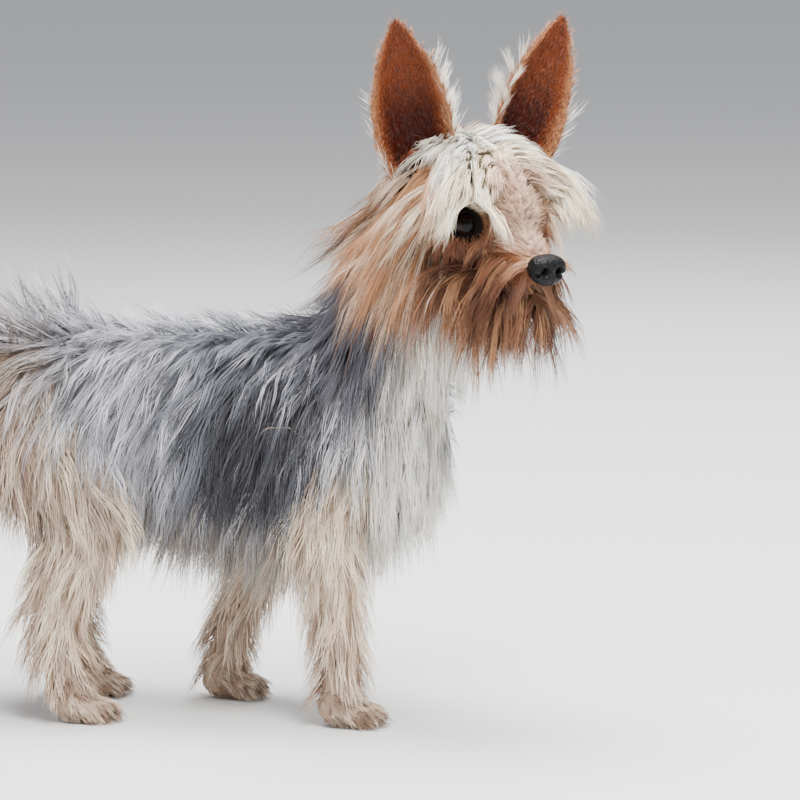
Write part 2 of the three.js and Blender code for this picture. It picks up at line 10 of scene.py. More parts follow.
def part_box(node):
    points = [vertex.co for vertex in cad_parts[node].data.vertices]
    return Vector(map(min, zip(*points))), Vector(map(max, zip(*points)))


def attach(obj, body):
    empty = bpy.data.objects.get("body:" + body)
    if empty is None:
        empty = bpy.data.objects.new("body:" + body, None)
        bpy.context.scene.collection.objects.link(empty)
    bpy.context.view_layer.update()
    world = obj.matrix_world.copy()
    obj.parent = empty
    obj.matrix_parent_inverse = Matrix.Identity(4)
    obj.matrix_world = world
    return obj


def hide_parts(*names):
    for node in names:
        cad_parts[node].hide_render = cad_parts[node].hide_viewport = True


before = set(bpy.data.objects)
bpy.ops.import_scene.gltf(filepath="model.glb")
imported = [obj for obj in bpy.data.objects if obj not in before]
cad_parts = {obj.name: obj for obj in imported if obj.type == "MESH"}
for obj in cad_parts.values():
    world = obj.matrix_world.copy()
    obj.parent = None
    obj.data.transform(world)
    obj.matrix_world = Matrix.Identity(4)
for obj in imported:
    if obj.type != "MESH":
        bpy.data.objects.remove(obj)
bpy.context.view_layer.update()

# The body's form. Every part of the dog is a row of elliptical rings along a smooth spine, in
# millimetres: +X the way the body heads, +Y the dog's left, +Z up. A station is the middle of a ring,
# its half width, its half height and the depth of the coat there.
WITHERS = 209
SPREAD = 35
SKULL_AT = np.array([150.0, -28.0, 283.0])
HEAD_TURN = math.radians(-53)
HEAD_DROP = math.radians(12)
EYE_R = 8.5
EYE_APART = 20.5
UP = np.array([0.0, 0.0, 1.0])
AHEAD = np.array([1.0, 0.0, 0.0])
LEFT = np.array([0.0, 1.0, 0.0])

HEAD_AHEAD = np.array([
    math.cos(HEAD_TURN) * math.cos(HEAD_DROP),
    math.sin(HEAD_TURN) * math.cos(HEAD_DROP),
    -math.sin(HEAD_DROP),
])
HEAD_LEFT = np.array([-math.sin(HEAD_TURN), math.cos(HEAD_TURN), 0.0])
HEAD_UP = np.cross(HEAD_AHEAD, HEAD_LEFT)


def unit(v):
    return v / np.maximum(np.linalg.norm(v, axis=-1, keepdims=True), 1e-9)


def dot(a, b):
    return np.sum(a * b, axis=-1, keepdims=True)


def on_head(ahead, left, up):
    return SKULL_AT + ahead * HEAD_AHEAD + left * HEAD_LEFT + up * HEAD_UP


class Limb:
    """Elliptical rings along a smooth spine."""

    def __init__(self, name, reference, stations, samples=33):
        self.name = name
        rows = np.array([[*middle, wide, high, coat] for middle, wide, high, coat in stations])
        padded = np.vstack([2 * rows[0] - rows[1], rows, 2 * rows[-1] - rows[-2]])
        t = np.linspace(0, len(rows) - 1.000001, samples)
        k = t.astype(int)
        f = (t - k)[:, None]
        a, b, c, d = (padded[k + i] for i in range(4))
        rings = 0.5 * (2 * b + (c - a) * f + (2 * a - 5 * b + 4 * c - d) * f**2 + (3 * b - a - 3 * c + d) * f**3)
        self.middle = rings[:, :3]
        self.wide, self.high, self.coat = rings[:, 3], rings[:, 4], rings[:, 5]
        self.along = unit(np.gradient(self.middle, axis=0))
        self.across = unit(np.cross(reference, self.along))
        self.upward = np.cross(self.along, self.across)

    def locate(self, points):
        """Where points stand: share along, sideways and upward offsets, and the distance to the skin."""
        squares = (
            np.sum(points**2, 1)[:, None] - 2 * points @ self.middle.T + np.sum(self.middle**2, 1)
        )
        k = np.argmin(squares, 1)
        away = points - self.middle[k]
        side = np.sum(away * self.across[k], 1)
        rise = np.sum(away * self.upward[k], 1)
        ahead = np.sum(away * self.along[k], 1)
        last = len(self.middle) - 1
        beyond = ((k == 0) & (ahead < 0)) | ((k == last) & (ahead > 0))
        end = np.where(beyond, ahead / (0.6 * self.high[k]), 0)
        ratio = np.sqrt((side / self.wide[k]) ** 2 + (rise / self.high[k]) ** 2 + end**2)
        radius = np.sqrt(side**2 + rise**2 + np.where(beyond, ahead, 0) ** 2)
        gap = radius * (1 - 1 / np.maximum(ratio, 1e-3))
        return k, side, rise, gap


# The bare body, the same stations as the solids have.
torso = Limb("torso", UP, [
    ((-128, 0, 186), 10, 11, 12),
    ((-116, 0, WITHERS - 33), 29, 29, 15),
    ((-84, 0, WITHERS - 40), 38, 39, 15),
    ((-42, 0, WITHERS - 42), 38, 41, 14),
    ((2, 0, WITHERS - 49), 42, 48, 13),
    ((46, 0, WITHERS - 54), 45, 54, 13),
    ((86, 0, WITHERS - 53), 41, 52, 15),
    ((115, 0, WITHERS - 48), 30, 38, 19),
    ((130, 0, WITHERS - 46), 12, 15, 20),
], 49)
neck = Limb("neck", UP, [
    ((88, 0, 176), 33, 36, 14),
    ((103, -4, 206), 31, 33, 18),
    ((118, -11, 236), 28, 30, 21),
    ((132, -18, 262), 25, 27, 20),
])
head = Limb("head", HEAD_UP, [
    (on_head(-39, 0, -2), 11, 12, 28),
    (on_head(-30, 0, -1), 24, 25, 32),
    (on_head(-12, 0, 2), 31, 30, 34),
    (on_head(8, 0, 2), 32, 30, 30),
    (on_head(26, 0, -4), 25, 25, 20),
    (on_head(41, 0, -14), 15, 15, 13),
    (on_head(56, 0, -19), 12.5, 11, 12),
    (on_head(68, 0, -20), 10, 8, 10),
], 41)
jaw = Limb("jaw", HEAD_UP, [
    (on_head(16, 0, -29), 14, 5, 13),
    (on_head(34, 0, -32), 12, 6, 15),
    (on_head(52, 0, -33), 9.5, 5.5, 16),
    (on_head(63, 0, -32), 6, 4, 13),
], 17)
tail = Limb("tail", AHEAD, [
    ((-118, 0, 194), 9, 9, 9),
    ((-141, 2, 213), 7.5, 7.5, 12),
    ((-156, 4, 240), 6, 6, 13),
    ((-160, 5, 270), 4.5, 4.5, 12),
    ((-156, 5, 288), 2.5, 2.5, 9),
])
FORE_FOOT = {"right": 81, "left": 9}
HIND_FOOT = {"right": -64, "left": -69}
ELBOW = {"right": 71, "left": 52}
SHOULDER = {"right": 82, "left": 78}
SIDES = {"right": -1, "left": 1}
legs = []
for side, sign in SIDES.items():
    foot, knee, top = FORE_FOOT[side], ELBOW[side], SHOULDER[side]
    legs.append(Limb(f"foreleg_{side}", AHEAD, [
        ((top, sign * 28, 158), 14, 24, 12),
        ((knee, sign * SPREAD, 116), 13, 17, 14),
        ((0.5 * knee + 0.5 * foot, sign * SPREAD, 80), 10.5, 12, 14),
        ((0.15 * knee + 0.85 * foot, sign * SPREAD, 46), 9, 9.5, 14),
        ((foot - 2, sign * SPREAD, 13), 10, 11, 12),
    ], 25))
    hind = HIND_FOOT[side]
    legs.append(Limb(f"hindleg_{side}", AHEAD, [
        ((hind - 22, sign * 20, 178), 18, 29, 13),
        ((hind - 14, sign * 33, 146), 17, 29, 13),
        ((hind + 7, sign * SPREAD, 114), 14, 20, 14),
        ((hind - 3, sign * SPREAD, 82), 10.5, 14, 14),
        ((hind - 11, sign * SPREAD, 54), 8.5, 11, 14),
        ((hind - 3, sign * SPREAD, 13), 9.5, 11, 12),
    ], 29))
limbs = [torso, neck, head, jaw, tail, *legs]

# Cheek muscle, brow ridge and lip of each side, and the end of the muzzle: middle and half sizes.
face_bulges = [(on_head(62, 0, -20), (10, 9.5, 7))]
for sign in SIDES.values():
    face_bulges += [
        (on_head(12, sign * 21, -12), (20, 11, 14)),
        (on_head(27, sign * 14, 8), (9, 9, 6)),
        (on_head(54, sign * 7, -25), (15, 6.5, 6)),
    ]


def skin_gap(points, around=None):
    """Distance from the skin to each point, and the way straight out of the nearest part."""
    gap = np.full(len(points), 1e9)
    out = np.zeros_like(points)
    for limb in around or limbs:
        k, side, rise, here = limb.locate(points)
        nearer = here < gap
        way = (
            limb.across[k] * (side / limb.wide[k] ** 2)[:, None]
            + limb.upward[k] * (rise / limb.high[k] ** 2)[:, None]
        )
        gap = np.where(nearer, here, gap)
        out = np.where(nearer[:, None], way, out)
    for middle, sizes in face_bulges:
        away = points - middle
        scaled = np.stack([away @ HEAD_AHEAD, away @ HEAD_LEFT, away @ HEAD_UP], 1) / sizes
        here = np.linalg.norm(away, axis=1) * (1 - 1 / np.maximum(np.linalg.norm(scaled, axis=1), 1e-3))
        nearer = here < gap
        gap = np.where(nearer, here, gap)
        out = np.where(nearer[:, None], away, out)
    return gap, unit(out)


# From the dog's own millimetres to the model's metres: the right eyeball is at the same place in both.
low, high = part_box("eye_right")
eye_middle = (np.array(low) + np.array(high)) / 2
SHIFT = eye_middle * 1000 - on_head(25, -EYE_APART, -4)


def metres(points):
    return (np.asarray(points) + SHIFT) * 0.001


def add_object(name, mesh, body="root"):
    piece = bpy.data.objects.new(name, mesh)
    bpy.context.scene.collection.objects.link(piece)
    if body:
        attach(piece, body)
    return piece


# The stage: a pale flat floor, four soft lights and an even sky.
SWEEP = 3.0
floor_mesh = bpy.data.meshes.new("floor")
floor_mesh.from_pydata(
    [(-SWEEP * 4, -SWEEP * 4, 0), (SWEEP * 4, -SWEEP * 4, 0), (SWEEP * 4, SWEEP * 4, 0), (-SWEEP * 4, SWEEP * 4, 0)],
    [],
    [(0, 1, 2, 3)],
)
floor = add_object("floor", floor_mesh, body=None)
floor_paint = bpy.data.materials.new("pale floor")
floor_paint.use_nodes = True
floor_shader = floor_paint.node_tree.nodes["Principled BSDF"]
floor_shader.inputs["Base Color"].default_value = (0.66, 0.66, 0.655, 1)
floor_shader.inputs["Roughness"].default_value = 0.9
floor_mesh.materials.append(floor_paint)

CAMERA_AZIMUTH = math.radians(5)
CAMERA_RISE = math.radians(7.5)
CAMERA_AWAY = 2200
CAMERA_VIEW = math.radians(11.2)
LOOK_AT = np.array([108.0, 0.0, 172.0])
camera_back = np.array([
    math.sin(CAMERA_AZIMUTH) * math.cos(CAMERA_RISE),
    -math.cos(CAMERA_AZIMUTH) * math.cos(CAMERA_RISE),
    math.sin(CAMERA_RISE),
])
camera_data = bpy.data.cameras.new("camera")
camera_data.sensor_width = 36
camera_data.lens = 18 / math.tan(CAMERA_VIEW / 2)
camera = bpy.data.objects.new("camera", camera_data)
bpy.context.scene.collection.objects.link(camera)
camera.location = Vector(metres(LOOK_AT + camera_back * CAMERA_AWAY))
camera.rotation_euler = Vector(camera_back).to_track_quat("Z", "Y").to_euler()
bpy.context.scene.camera = camera

LIGHTS = {
    "key": ((0.7, -1.2, 2.2), 1.1, 120, (1.0, 0.985, 0.96)),
    "fill": ((-1.6, -1.5, 1.2), 1.8, 16, (0.96, 0.98, 1.0)),
    "top": ((0.1, 0.2, 2.3), 1.3, 140, (1.0, 1.0, 1.0)),
    "rim": ((0.3, 1.8, 1.6), 1.4, 30, (1.0, 1.0, 1.0)),
}
for name, (place, size, power, colour) in LIGHTS.items():
    lamp = bpy.data.lights.new(name, "AREA")
    lamp.shape = "DISK"
    lamp.size = size
    lamp.energy = power
    lamp.color = colour
    light = bpy.data.objects.new(name, lamp)
    bpy.context.scene.collection.objects.link(light)
    light.location = place
    light.rotation_euler = (Vector(place) - Vector((0, 0, 0.2))).to_track_quat("Z", "Y").to_euler()
world = bpy.data.worlds.new("soft sky")
world.use_nodes = True
world.node_tree.nodes["Background"].inputs["Color"].default_value = (0.93, 0.95, 1.0, 1)
world.node_tree.nodes["Background"].inputs["Strength"].default_value = 0.65
bpy.context.scene.world = world


# The skin: one closed hide over neck, trunk, legs, paws, ears and tail, soft where parts join. It is made
# from the rings of the body, balls for lids, lips and toes, and two ear cups, fused by a fine remesh.
VOXEL = 1.25


class Hide:
    """Collects closed pieces of the body as one mesh."""

    def __init__(self):
        self.points, self.faces = [], []

    def rings(self, rows, start, end):
        first, sides = len(self.points), len(rows[0])
        for row in rows:
            self.points.extend(row)
        self.points.extend([start, end])
        ends = first + len(rows) * sides
        for i in range(sides):
            j = (i + 1) % sides
            for k in range(first, ends - sides, sides):
                self.faces.append((k + i, k + j, k + sides + j, k + sides + i))
            self.faces.append((first + j, first + i, ends))
            self.faces.append((ends - sides + i, ends - sides + j, ends + 1))

    def limb(self, limb, sides=40):
        turns = -np.linspace(0, 2 * math.pi, sides, endpoint=False)
        rows = [
            middle + np.outer(np.sin(turns) * wide, across) + np.outer(np.cos(turns) * high, upward)
            for middle, wide, high, across, upward in zip(
                limb.middle, limb.wide, limb.high, limb.across, limb.upward
            )
        ]
        start = limb.middle[0] - limb.along[0] * limb.high[0] * 0.4
        end = limb.middle[-1] + limb.along[-1] * limb.high[-1] * 0.4
        self.rings(rows, start, end)

    def ball(self, middle, ahead, across, upward, sizes, sides=28, steps=16):
        turns = np.linspace(0, 2 * math.pi, sides, endpoint=False)
        rows = []
        for k in range(1, steps):
            tilt = math.pi * k / steps
            x = -math.cos(tilt) * sizes[0]
            wide = math.sin(tilt)
            rows.append(
                middle
                + x * ahead
                + np.outer(np.cos(turns) * wide * sizes[1], across)
                + np.outer(np.sin(turns) * wide * sizes[2], upward)
            )
        self.rings(rows, middle - ahead * sizes[0], middle + ahead * sizes[0])

    def mesh(self, name):
        mesh = bpy.data.meshes.new(name)
        mesh.from_pydata([tuple(p) for p in metres(np.array(self.points))], [], self.faces)
        return mesh


# An upright ear: a leaf-shaped cup, widest low down, open forward and a little outward.
EAR_LENGTH = 84
EAR_OUTWARD = {-1: 0.42, 1: -0.08}
EAR_THICK = 1.1
EAR_WIDTHS = np.array([
    (-0.2, 8, 82), (0, 16, 84), (0.2, 21, 72), (0.45, 21, 58), (0.7, 16, 48), (0.9, 7.5, 40), (1, 1.6, 36),
])


def ear_frame(sign):
    base = on_head(-15, sign * 28, 14)
    tip = on_head(-15, sign * 53, 96)
    along = unit(tip - base)
    opening = HEAD_AHEAD + HEAD_LEFT * sign * EAR_OUTWARD[sign]
    opening = unit(opening - along * dot(opening, along))
    return base, along, opening, np.cross(along, opening)


def ear_rings(sign, steps=31, points=25):
    base, along, opening, across = ear_frame(sign)
    rows = []
    for share in np.linspace(-0.2, 1, steps):
        wide, half = (np.interp(share, EAR_WIDTHS[:, 0], EAR_WIDTHS[:, i]) for i in (1, 2))
        half = math.radians(half)
        bend = wide / math.sin(half)
        middle = base + along * share * EAR_LENGTH + opening * bend * math.cos(half * 0.6)
        angles = np.linspace(-half, half, points)
        thick = EAR_THICK * np.sqrt(np.maximum(1 - (angles / half) ** 6, 0.15))

        def arc(turned, radius):
            return middle + np.outer(np.sin(turned) * radius, across) - np.outer(np.cos(turned) * radius, opening)

        rows.append(np.vstack([arc(angles, bend + thick), arc(angles[::-1], bend - thick[::-1])])[::-1])
    ends = [rows[k][[points // 2, points + points // 2]].mean(0) for k in (0, -1)]
    return rows, ends[0], ends[1] + along


hide = Hide()
for limb in limbs:
    hide.limb(limb)
for sign in SIDES.values():
    hide.rings(*ear_rings(sign))
    base, along, opening, across = ear_frame(sign)
    hide.ball(base - along * 1 + opening * 2, along, across, opening, (9, 12, 7))
for middle, sizes in face_bulges:
    hide.ball(middle, HEAD_AHEAD, HEAD_LEFT, HEAD_UP, sizes)
PAWS = []
for side, sign in SIDES.items():
    for foot, drop in ((FORE_FOOT[side], 0), (HIND_FOOT[side], 0)):
        at = np.array([foot, sign * SPREAD, 0.0])
        PAWS.append(at)
        hide.ball(at + (-1, 0, 9.4), AHEAD, LEFT, UP, (13.5, 11, 9))
        for k, across in enumerate((-8, -3, 3, 8)):
            reach = 13 if k in (1, 2) else 9
            hide.ball(at + (reach, across, 6.6), AHEAD, LEFT, UP, (8, 4.3, 6.2), 20, 12)
rough_skin = add_object("rough skin", hide.mesh("rough skin"), body=None)
remesh = rough_skin.modifiers.new("fuse", "REMESH")
remesh.mode = "VOXEL"
remesh.voxel_size = VOXEL * 0.001
remesh.use_smooth_shade = True
smooth = rough_skin.modifiers.new("soften", "SMOOTH")
smooth.factor = 0.6
smooth.iterations = 5
done = rough_skin.evaluated_get(bpy.context.evaluated_depsgraph_get())
skin_mesh = bpy.data.meshes.new_from_object(done)
skin_mesh.name = "skin"
bpy.data.objects.remove(rough_skin)
skin = add_object("skin", skin_mesh)
flesh = ["torso", "neck", "head", "tail"]
for side in SIDES:
    flesh += [f"{part}_{side}" for part in ("ear", "foreleg", "thigh", "hindleg", "forepaw", "hindpaw")]
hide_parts(*flesh)


def mesh_arrays(mesh):
    """Vertices in the dog's millimetres, triangles and vertex normals."""
    at = np.empty(len(mesh.vertices) * 3)
    mesh.vertices.foreach_get("co", at)
    mesh.calc_loop_triangles()
    triangles = np.empty(len(mesh.loop_triangles) * 3, int)
    mesh.loop_triangles.foreach_get("vertices", triangles)
    normals = np.empty(len(mesh.vertices) * 3)
    mesh.vertex_normals.foreach_get("vector", normals)
    return at.reshape(-1, 3) * 1000 - SHIFT, triangles.reshape(-1, 3), normals.reshape(-1, 3)


skin_at, skin_triangles, skin_normals = mesh_arrays(skin_mesh)


# The coat's regions and markings. Each place on the skin belongs to a part of the body, and its colour
# comes from where it lies on that part: a steel-blue saddle, a dark band on the neck, tan below and on
# the head, cream on crown and chest, rust on ears and muzzle.
def paint(red, green, blue):
    """A colour as the eye sees it, turned linear."""
    return np.array([red, green, blue]) ** 2.2


STEEL = paint(0.54, 0.55, 0.59)
INK = paint(0.12, 0.12, 0.14)
SILVER = paint(0.76, 0.76, 0.78)
OAT = paint(0.67, 0.59, 0.525)
BELLY = paint(0.63, 0.595, 0.56)
IVORY = paint(1.0, 0.97, 0.92)
CREAM = paint(0.99, 0.91, 0.81)
TAN = paint(0.84, 0.74, 0.65)
WARM = paint(0.49, 0.35, 0.265)
GOLD = paint(0.73, 0.53, 0.38)
BUFF = paint(0.77, 0.64, 0.55)
RUST = paint(0.46, 0.285, 0.20)
RUSSET = paint(0.34, 0.215, 0.155)
EAR_RUST = paint(0.50, 0.26, 0.15)
CUP_UMBER_AND_SHADE = paint(0.25, 0.10, 0.07)
CHARCOAL = paint(0.38, 0.38, 0.41)


def ramp(value, low, high):
    share = np.clip((value - low) / (high - low), 0, 1)
    return share * share * (3 - 2 * share)


def blend(base, colour, amount):
    return base + (colour - base) * np.asarray(amount)[..., None]


class Places:
    """Where points of the skin lie: their part, their share along it and their turn round it."""

    def __init__(self, points, normals):
        self.points, self.normals = points, normals
        count = len(points)
        gap = np.full(count, 1e9)
        self.part = np.zeros(count, int)
        self.t = np.zeros(count)
        self.turn = np.zeros(count)
        self.coat = np.zeros(count)
        self.along = np.zeros((count, 3))
        self.around = np.zeros((count, 3))
        for number, limb in enumerate(limbs):
            k, side, rise, here = limb.locate(points)
            here = np.abs(here) + (number >= 5) * (k == 0) * 40
            nearer = here < gap
            gap = np.where(nearer, here, gap)
            turn = np.arctan2(side / limb.wide[k], rise / limb.high[k])
            sense = np.where(turn < 0, -1.0, 1.0)
            around = (
                limb.across[k] * (np.cos(turn) * limb.wide[k] * sense)[:, None]
                - limb.upward[k] * (np.sin(turn) * limb.high[k] * sense)[:, None]
            )
            self.part = np.where(nearer, number, self.part)
            self.t = np.where(nearer, k / (len(limb.middle) - 1), self.t)
            self.turn = np.where(nearer, np.degrees(turn), self.turn)
            self.coat = np.where(nearer, limb.coat[k], self.coat)
            self.along = np.where(nearer[:, None], limb.along[k], self.along)
            self.around = np.where(nearer[:, None], around, self.around)
        self.around = unit(self.around)
        away = points - SKULL_AT
        self.head = np.stack([away @ HEAD_AHEAD, away @ HEAD_LEFT, away @ HEAD_UP], 1)
        # ears: the height up the ear's length and the place across it
        self.ear = np.zeros(count, int)
        self.ear_up = np.zeros(count)
        self.ear_side = np.zeros(count)
        self.ear_out = np.zeros((count, 3))
        self.ear_inside = np.zeros(count)
        for sign in SIDES.values():
            base, along, opening, across = ear_frame(sign)
            away = points - base
            up = away @ along
            side = away @ across
            depth = away @ opening
            on = (up > -6) & (up < EAR_LENGTH + 6) & (np.abs(side) < 26) & (np.abs(depth) < 26)
            on &= limbs[2].locate(points)[3] > 3.5
            share = np.interp(up / EAR_LENGTH, EAR_WIDTHS[:, 0], EAR_WIDTHS[:, 1])
            self.ear = np.where(on, sign, self.ear)
            self.ear_up = np.where(on, up / EAR_LENGTH, self.ear_up)
            self.ear_side = np.where(on, side / share, self.ear_side)
            self.ear_inside = np.where(on, (normals @ opening > 0.1).astype(float), self.ear_inside)
            self.ear_out = np.where(on[:, None], along, self.ear_out)
        self.is_leg = self.part >= 5
        self.paw = self.is_leg & (points[:, 2] < 20)


def flank_dark_hair_and_shade(x, turn):
    """Where the saddle is darkest, partly dark hair and partly painted shade: behind the elbow, from the back to low
    on the ribs.
    """
    return ramp(x, -10, 30) * (1 - ramp(x, 60, 90)) * (0.25 + 0.75 * ramp(turn, 22, 60)) * (1 - ramp(turn, 104, 122))


def markings(p):
    """The coat's colour at each place, before the hairs vary."""
    x, z = p.points[:, 0], p.points[:, 2]
    turn = np.abs(p.turn)
    count = len(x)
    # trunk
    trunk = np.tile(STEEL, (count, 1))
    trunk = blend(trunk, SILVER, 0.6 * ramp(x, -80, -40) * (1 - ramp(x, -25, 10)))
    # ink on the flank behind the elbow, most low on the ribs: partly dark hair, partly painted shade
    trunk = blend(trunk, INK, 0.75 * flank_dark_hair_and_shade(x, turn))
    trunk = blend(trunk, SILVER, 0.75 * ramp(x, 68, 84) * ramp(turn, 25, 50))
    trunk = blend(trunk, OAT, ramp(-x, 48, 100) * (0.3 + 0.65 * ramp(turn, 12, 50)))
    trunk = blend(trunk, WARM, 0.75 * ramp(-x, 78, 108) * ramp(turn, 30, 60))
    trunk = blend(trunk, BELLY, 0.9 * ramp(turn, 104, 130))
    trunk = blend(trunk, IVORY, ramp(x, 80, 102) * ramp(turn, 50, 90))
    # neck: dark above, ivory at the throat
    nape = np.tile(CHARCOAL, (count, 1))
    nape = blend(nape, GOLD, ramp(p.t, 0.75, 1.0) * 0.5)
    nape = blend(nape, IVORY, ramp(turn, 100, 135))
    # head
    f, l, u = p.head[:, 0], np.abs(p.head[:, 1]), p.head[:, 2]
    face = np.tile(GOLD, (count, 1))
    face = blend(face, WARM, 0.85 * ramp(-f, 10, 30))
    face = blend(face, CHARCOAL, 0.45 * ramp(-f, 22, 36) * (1 - ramp(u, 4, 16)))
    face = blend(face, IVORY, ramp(u, 12, 22) * (1 - ramp(l, 16, 27)) * ramp(f, -30, -12))
    face = blend(face, CREAM, ramp(u, 0, 7) * ramp(f, 6, 18) * (1 - ramp(f, 34, 42)))
    face = blend(face, BUFF, ramp(f, 22, 30) * ramp(u, -16, -8) * (1 - ramp(l, 9, 15)))
    face = blend(face, RUST, 0.9 * ramp(f, 8, 22) * (1 - ramp(u, -15, -8)) * ramp(l, 5, 10))
    face = blend(face, RUST, 0.6 * ramp(f, -16, 2) * ramp(-u, 6, 20))
    face = blend(face, RUST, 0.8 * ramp(f, 18, 24) * ramp(l, 10, 13) * (1 - ramp(u, 2, 6)))
    face = blend(face, RUSSET, 0.75 * ramp(f, 34, 40) * ramp(-u, 12, 24))
    beard = np.tile(RUSSET, (count, 1))
    beard = blend(beard, GOLD, 0.25 * ramp(f, 50, 62))
    # legs: cream outside and in front, warmer low down and inside
    leg = np.tile(TAN, (count, 1))
    leg = blend(leg, CREAM, 0.5 * ramp(z, 55, 110))
    leg = blend(leg, WARM, 0.4 * (1 - ramp(z, 25, 60)))
    leg = blend(leg, STEEL, 0.5 * ramp(z, 130, 160) * (x > 0))
    leg = blend(leg, OAT, 0.7 * ramp(z, 95, 130) * (x < 0))
    leg = blend(leg, WARM, 0.5 * ramp(z, 100, 140) * ramp(-x, 82, 104))
    plume = np.tile(STEEL, (count, 1))
    plume = blend(plume, INK, 0.4 * ramp(z, 220, 270))
    colour = leg
    for number, own in ((0, trunk), (1, nape), (2, face), (3, beard), (4, plume)):
        colour = np.where((p.part == number)[:, None], own, colour)
    # ears
    ear = np.tile(EAR_RUST, (count, 1))
    ear = blend(ear, GOLD, 0.6 * ramp(np.abs(p.ear_side), 0.7, 0.95))
    # the cup turns umber, most in its middle and towards its foot: partly its own darker fur, partly painted shade
    # in the hollow
    cup = p.ear_inside * (1 - ramp(np.abs(p.ear_side), 0.5, 0.85))
    ear = blend(ear, CUP_UMBER_AND_SHADE, cup * (0.35 + 0.6 * (1 - ramp(p.ear_up, 0.3, 0.65))))
    return np.where((p.ear != 0)[:, None], ear, colour)


def hair_streaks():
    """Node group: streaks of lighter and darker hairs over a colour, and their roughness."""
    group = bpy.data.node_groups.new("hair streaks", "ShaderNodeTree")
    group.interface.new_socket("Colour", in_out="INPUT", socket_type="NodeSocketColor")
    group.interface.new_socket("Scale", in_out="INPUT", socket_type="NodeSocketFloat")
    group.interface.new_socket("Strength", in_out="INPUT", socket_type="NodeSocketFloat")
    group.interface.new_socket("Colour", in_out="OUTPUT", socket_type="NodeSocketColor")
    group.interface.new_socket("Roughness", in_out="OUTPUT", socket_type="NodeSocketFloat")
    group.interface.new_socket("Height", in_out="OUTPUT", socket_type="NodeSocketFloat")
    nodes, links = group.nodes, group.links
    given, made = nodes.new("NodeGroupInput"), nodes.new("NodeGroupOutput")
    place = nodes.new("ShaderNodeTexCoord")
    noise = nodes.new("ShaderNodeTexNoise")
    noise.inputs["Detail"].default_value = 4
    links.new(place.outputs["Object"], noise.inputs["Vector"])
    links.new(given.outputs["Scale"], noise.inputs["Scale"])
    centred = nodes.new("ShaderNodeMath")
    centred.operation = "SUBTRACT"
    centred.inputs[1].default_value = 0.5
    links.new(noise.outputs["Fac"], centred.inputs[0])
    swing = nodes.new("ShaderNodeMath")
    swing.operation = "MULTIPLY_ADD"
    swing.inputs[2].default_value = 1.0
    links.new(centred.outputs[0], swing.inputs[0])
    links.new(given.outputs["Strength"], swing.inputs[1])
    shade = nodes.new("ShaderNodeHueSaturation")
    links.new(given.outputs["Colour"], shade.inputs["Color"])
    links.new(swing.outputs[0], shade.inputs["Value"])
    rough = nodes.new("ShaderNodeMapRange")
    rough.inputs["To Min"].default_value = 0.38
    rough.inputs["To Max"].default_value = 0.62
    links.new(noise.outputs["Fac"], rough.inputs["Value"])
    links.new(shade.outputs["Color"], made.inputs["Colour"])
    links.new(rough.outputs["Result"], made.inputs["Roughness"])
    links.new(noise.outputs["Fac"], made.inputs["Height"])
    return group


HAIR_STREAKS = hair_streaks()


def coat_material(name, scale, strength, sheen, gloss, bump=0.0):
    """Hair whose colour comes from the markings, varied by streaks."""
    made = bpy.data.materials.new(name)
    made.use_nodes = True
    nodes, links = made.node_tree.nodes, made.node_tree.links
    shader = nodes["Principled BSDF"]
    marks = nodes.new("ShaderNodeAttribute")
    marks.attribute_name = "markings"
    streaks = nodes.new("ShaderNodeGroup")
    streaks.node_tree = HAIR_STREAKS
    streaks.inputs["Scale"].default_value = scale
    streaks.inputs["Strength"].default_value = strength
    links.new(marks.outputs["Color"], streaks.inputs["Colour"])
    links.new(streaks.outputs["Colour"], shader.inputs["Base Color"])
    links.new(streaks.outputs["Roughness"], shader.inputs["Roughness"])
    shader.inputs["Specular IOR Level"].default_value = gloss
    shader.inputs["Sheen Weight"].default_value = sheen
    shader.inputs["Sheen Roughness"].default_value = 0.4
    if bump:
        lift = nodes.new("ShaderNodeBump")
        lift.inputs["Strength"].default_value = bump
        lift.inputs["Distance"].default_value = 0.0006
        links.new(streaks.outputs["Height"], lift.inputs["Height"])
        links.new(lift.outputs["Normal"], shader.inputs["Normal"])
    return made


def give_markings(mesh, colours):
    layer = mesh.color_attributes.new("markings", "FLOAT_COLOR", "POINT")
    rgba = np.ones((len(colours), 4))
    rgba[:, :3] = colours
    layer.data.foreach_set("color", rgba.ravel())


skin_places = Places(skin_at, skin_normals)
# the skin takes the markings three quarters as bright, like the hair roots: partly the undercoat's darker roots,
# partly painted shade under the coat
skin_colour = markings(skin_places) * 0.75
near_eye = np.minimum(*[
    np.linalg.norm(skin_at - on_head(30, sign * (EYE_APART + 2), -4), axis=1) for sign in SIDES.values()
])
skin_colour = blend(skin_colour, paint(0.05, 0.035, 0.03), 1 - ramp(near_eye, 8.5, 11))
give_markings(skin_mesh, skin_colour)
skin_mesh.materials.clear()
skin_mesh.materials.append(coat_material("undercoat and skin", 900, 0.5, 0.0, 0.06, bump=0.6))


# The coat: long silky hair, parted along the back, that falls in wavy locks over trunk, neck, head and
# legs, and short fur on ears and paws. Each hair is a thin closed spindle rooted in the skin. Hairs grow
# in locks: every lock has a leader that follows the lie and droops, and its hairs close in on it.
rng = np.random.default_rng(2047)
GRAVITY = np.array([0.0, 0.0, -1.0])
TUFT_PATCH = 0.003
WIDEST = 88.5


def scatter(triangles, count, keep=None):
    """Even random places on some of the skin's triangles."""
    a, b, c = (skin_at[triangles[:, i]] for i in range(3))
    area = np.linalg.norm(np.cross(b - a, c - a), axis=1)
    if keep is not None:
        area = area * keep
    chosen = rng.choice(len(triangles), count, p=area / area.sum())
    u, v = rng.random(count), rng.random(count)
    flip = u + v > 1
    u, v = np.where(flip, 1 - u, u), np.where(flip, 1 - v, v)
    mix = np.stack([1 - u - v, u, v], 1)[:, :, None]
    points = np.sum(skin_at[triangles[chosen]] * mix, 1)
    normals = unit(np.sum(skin_normals[triangles[chosen]] * mix, 1))
    return Places(points, normals)


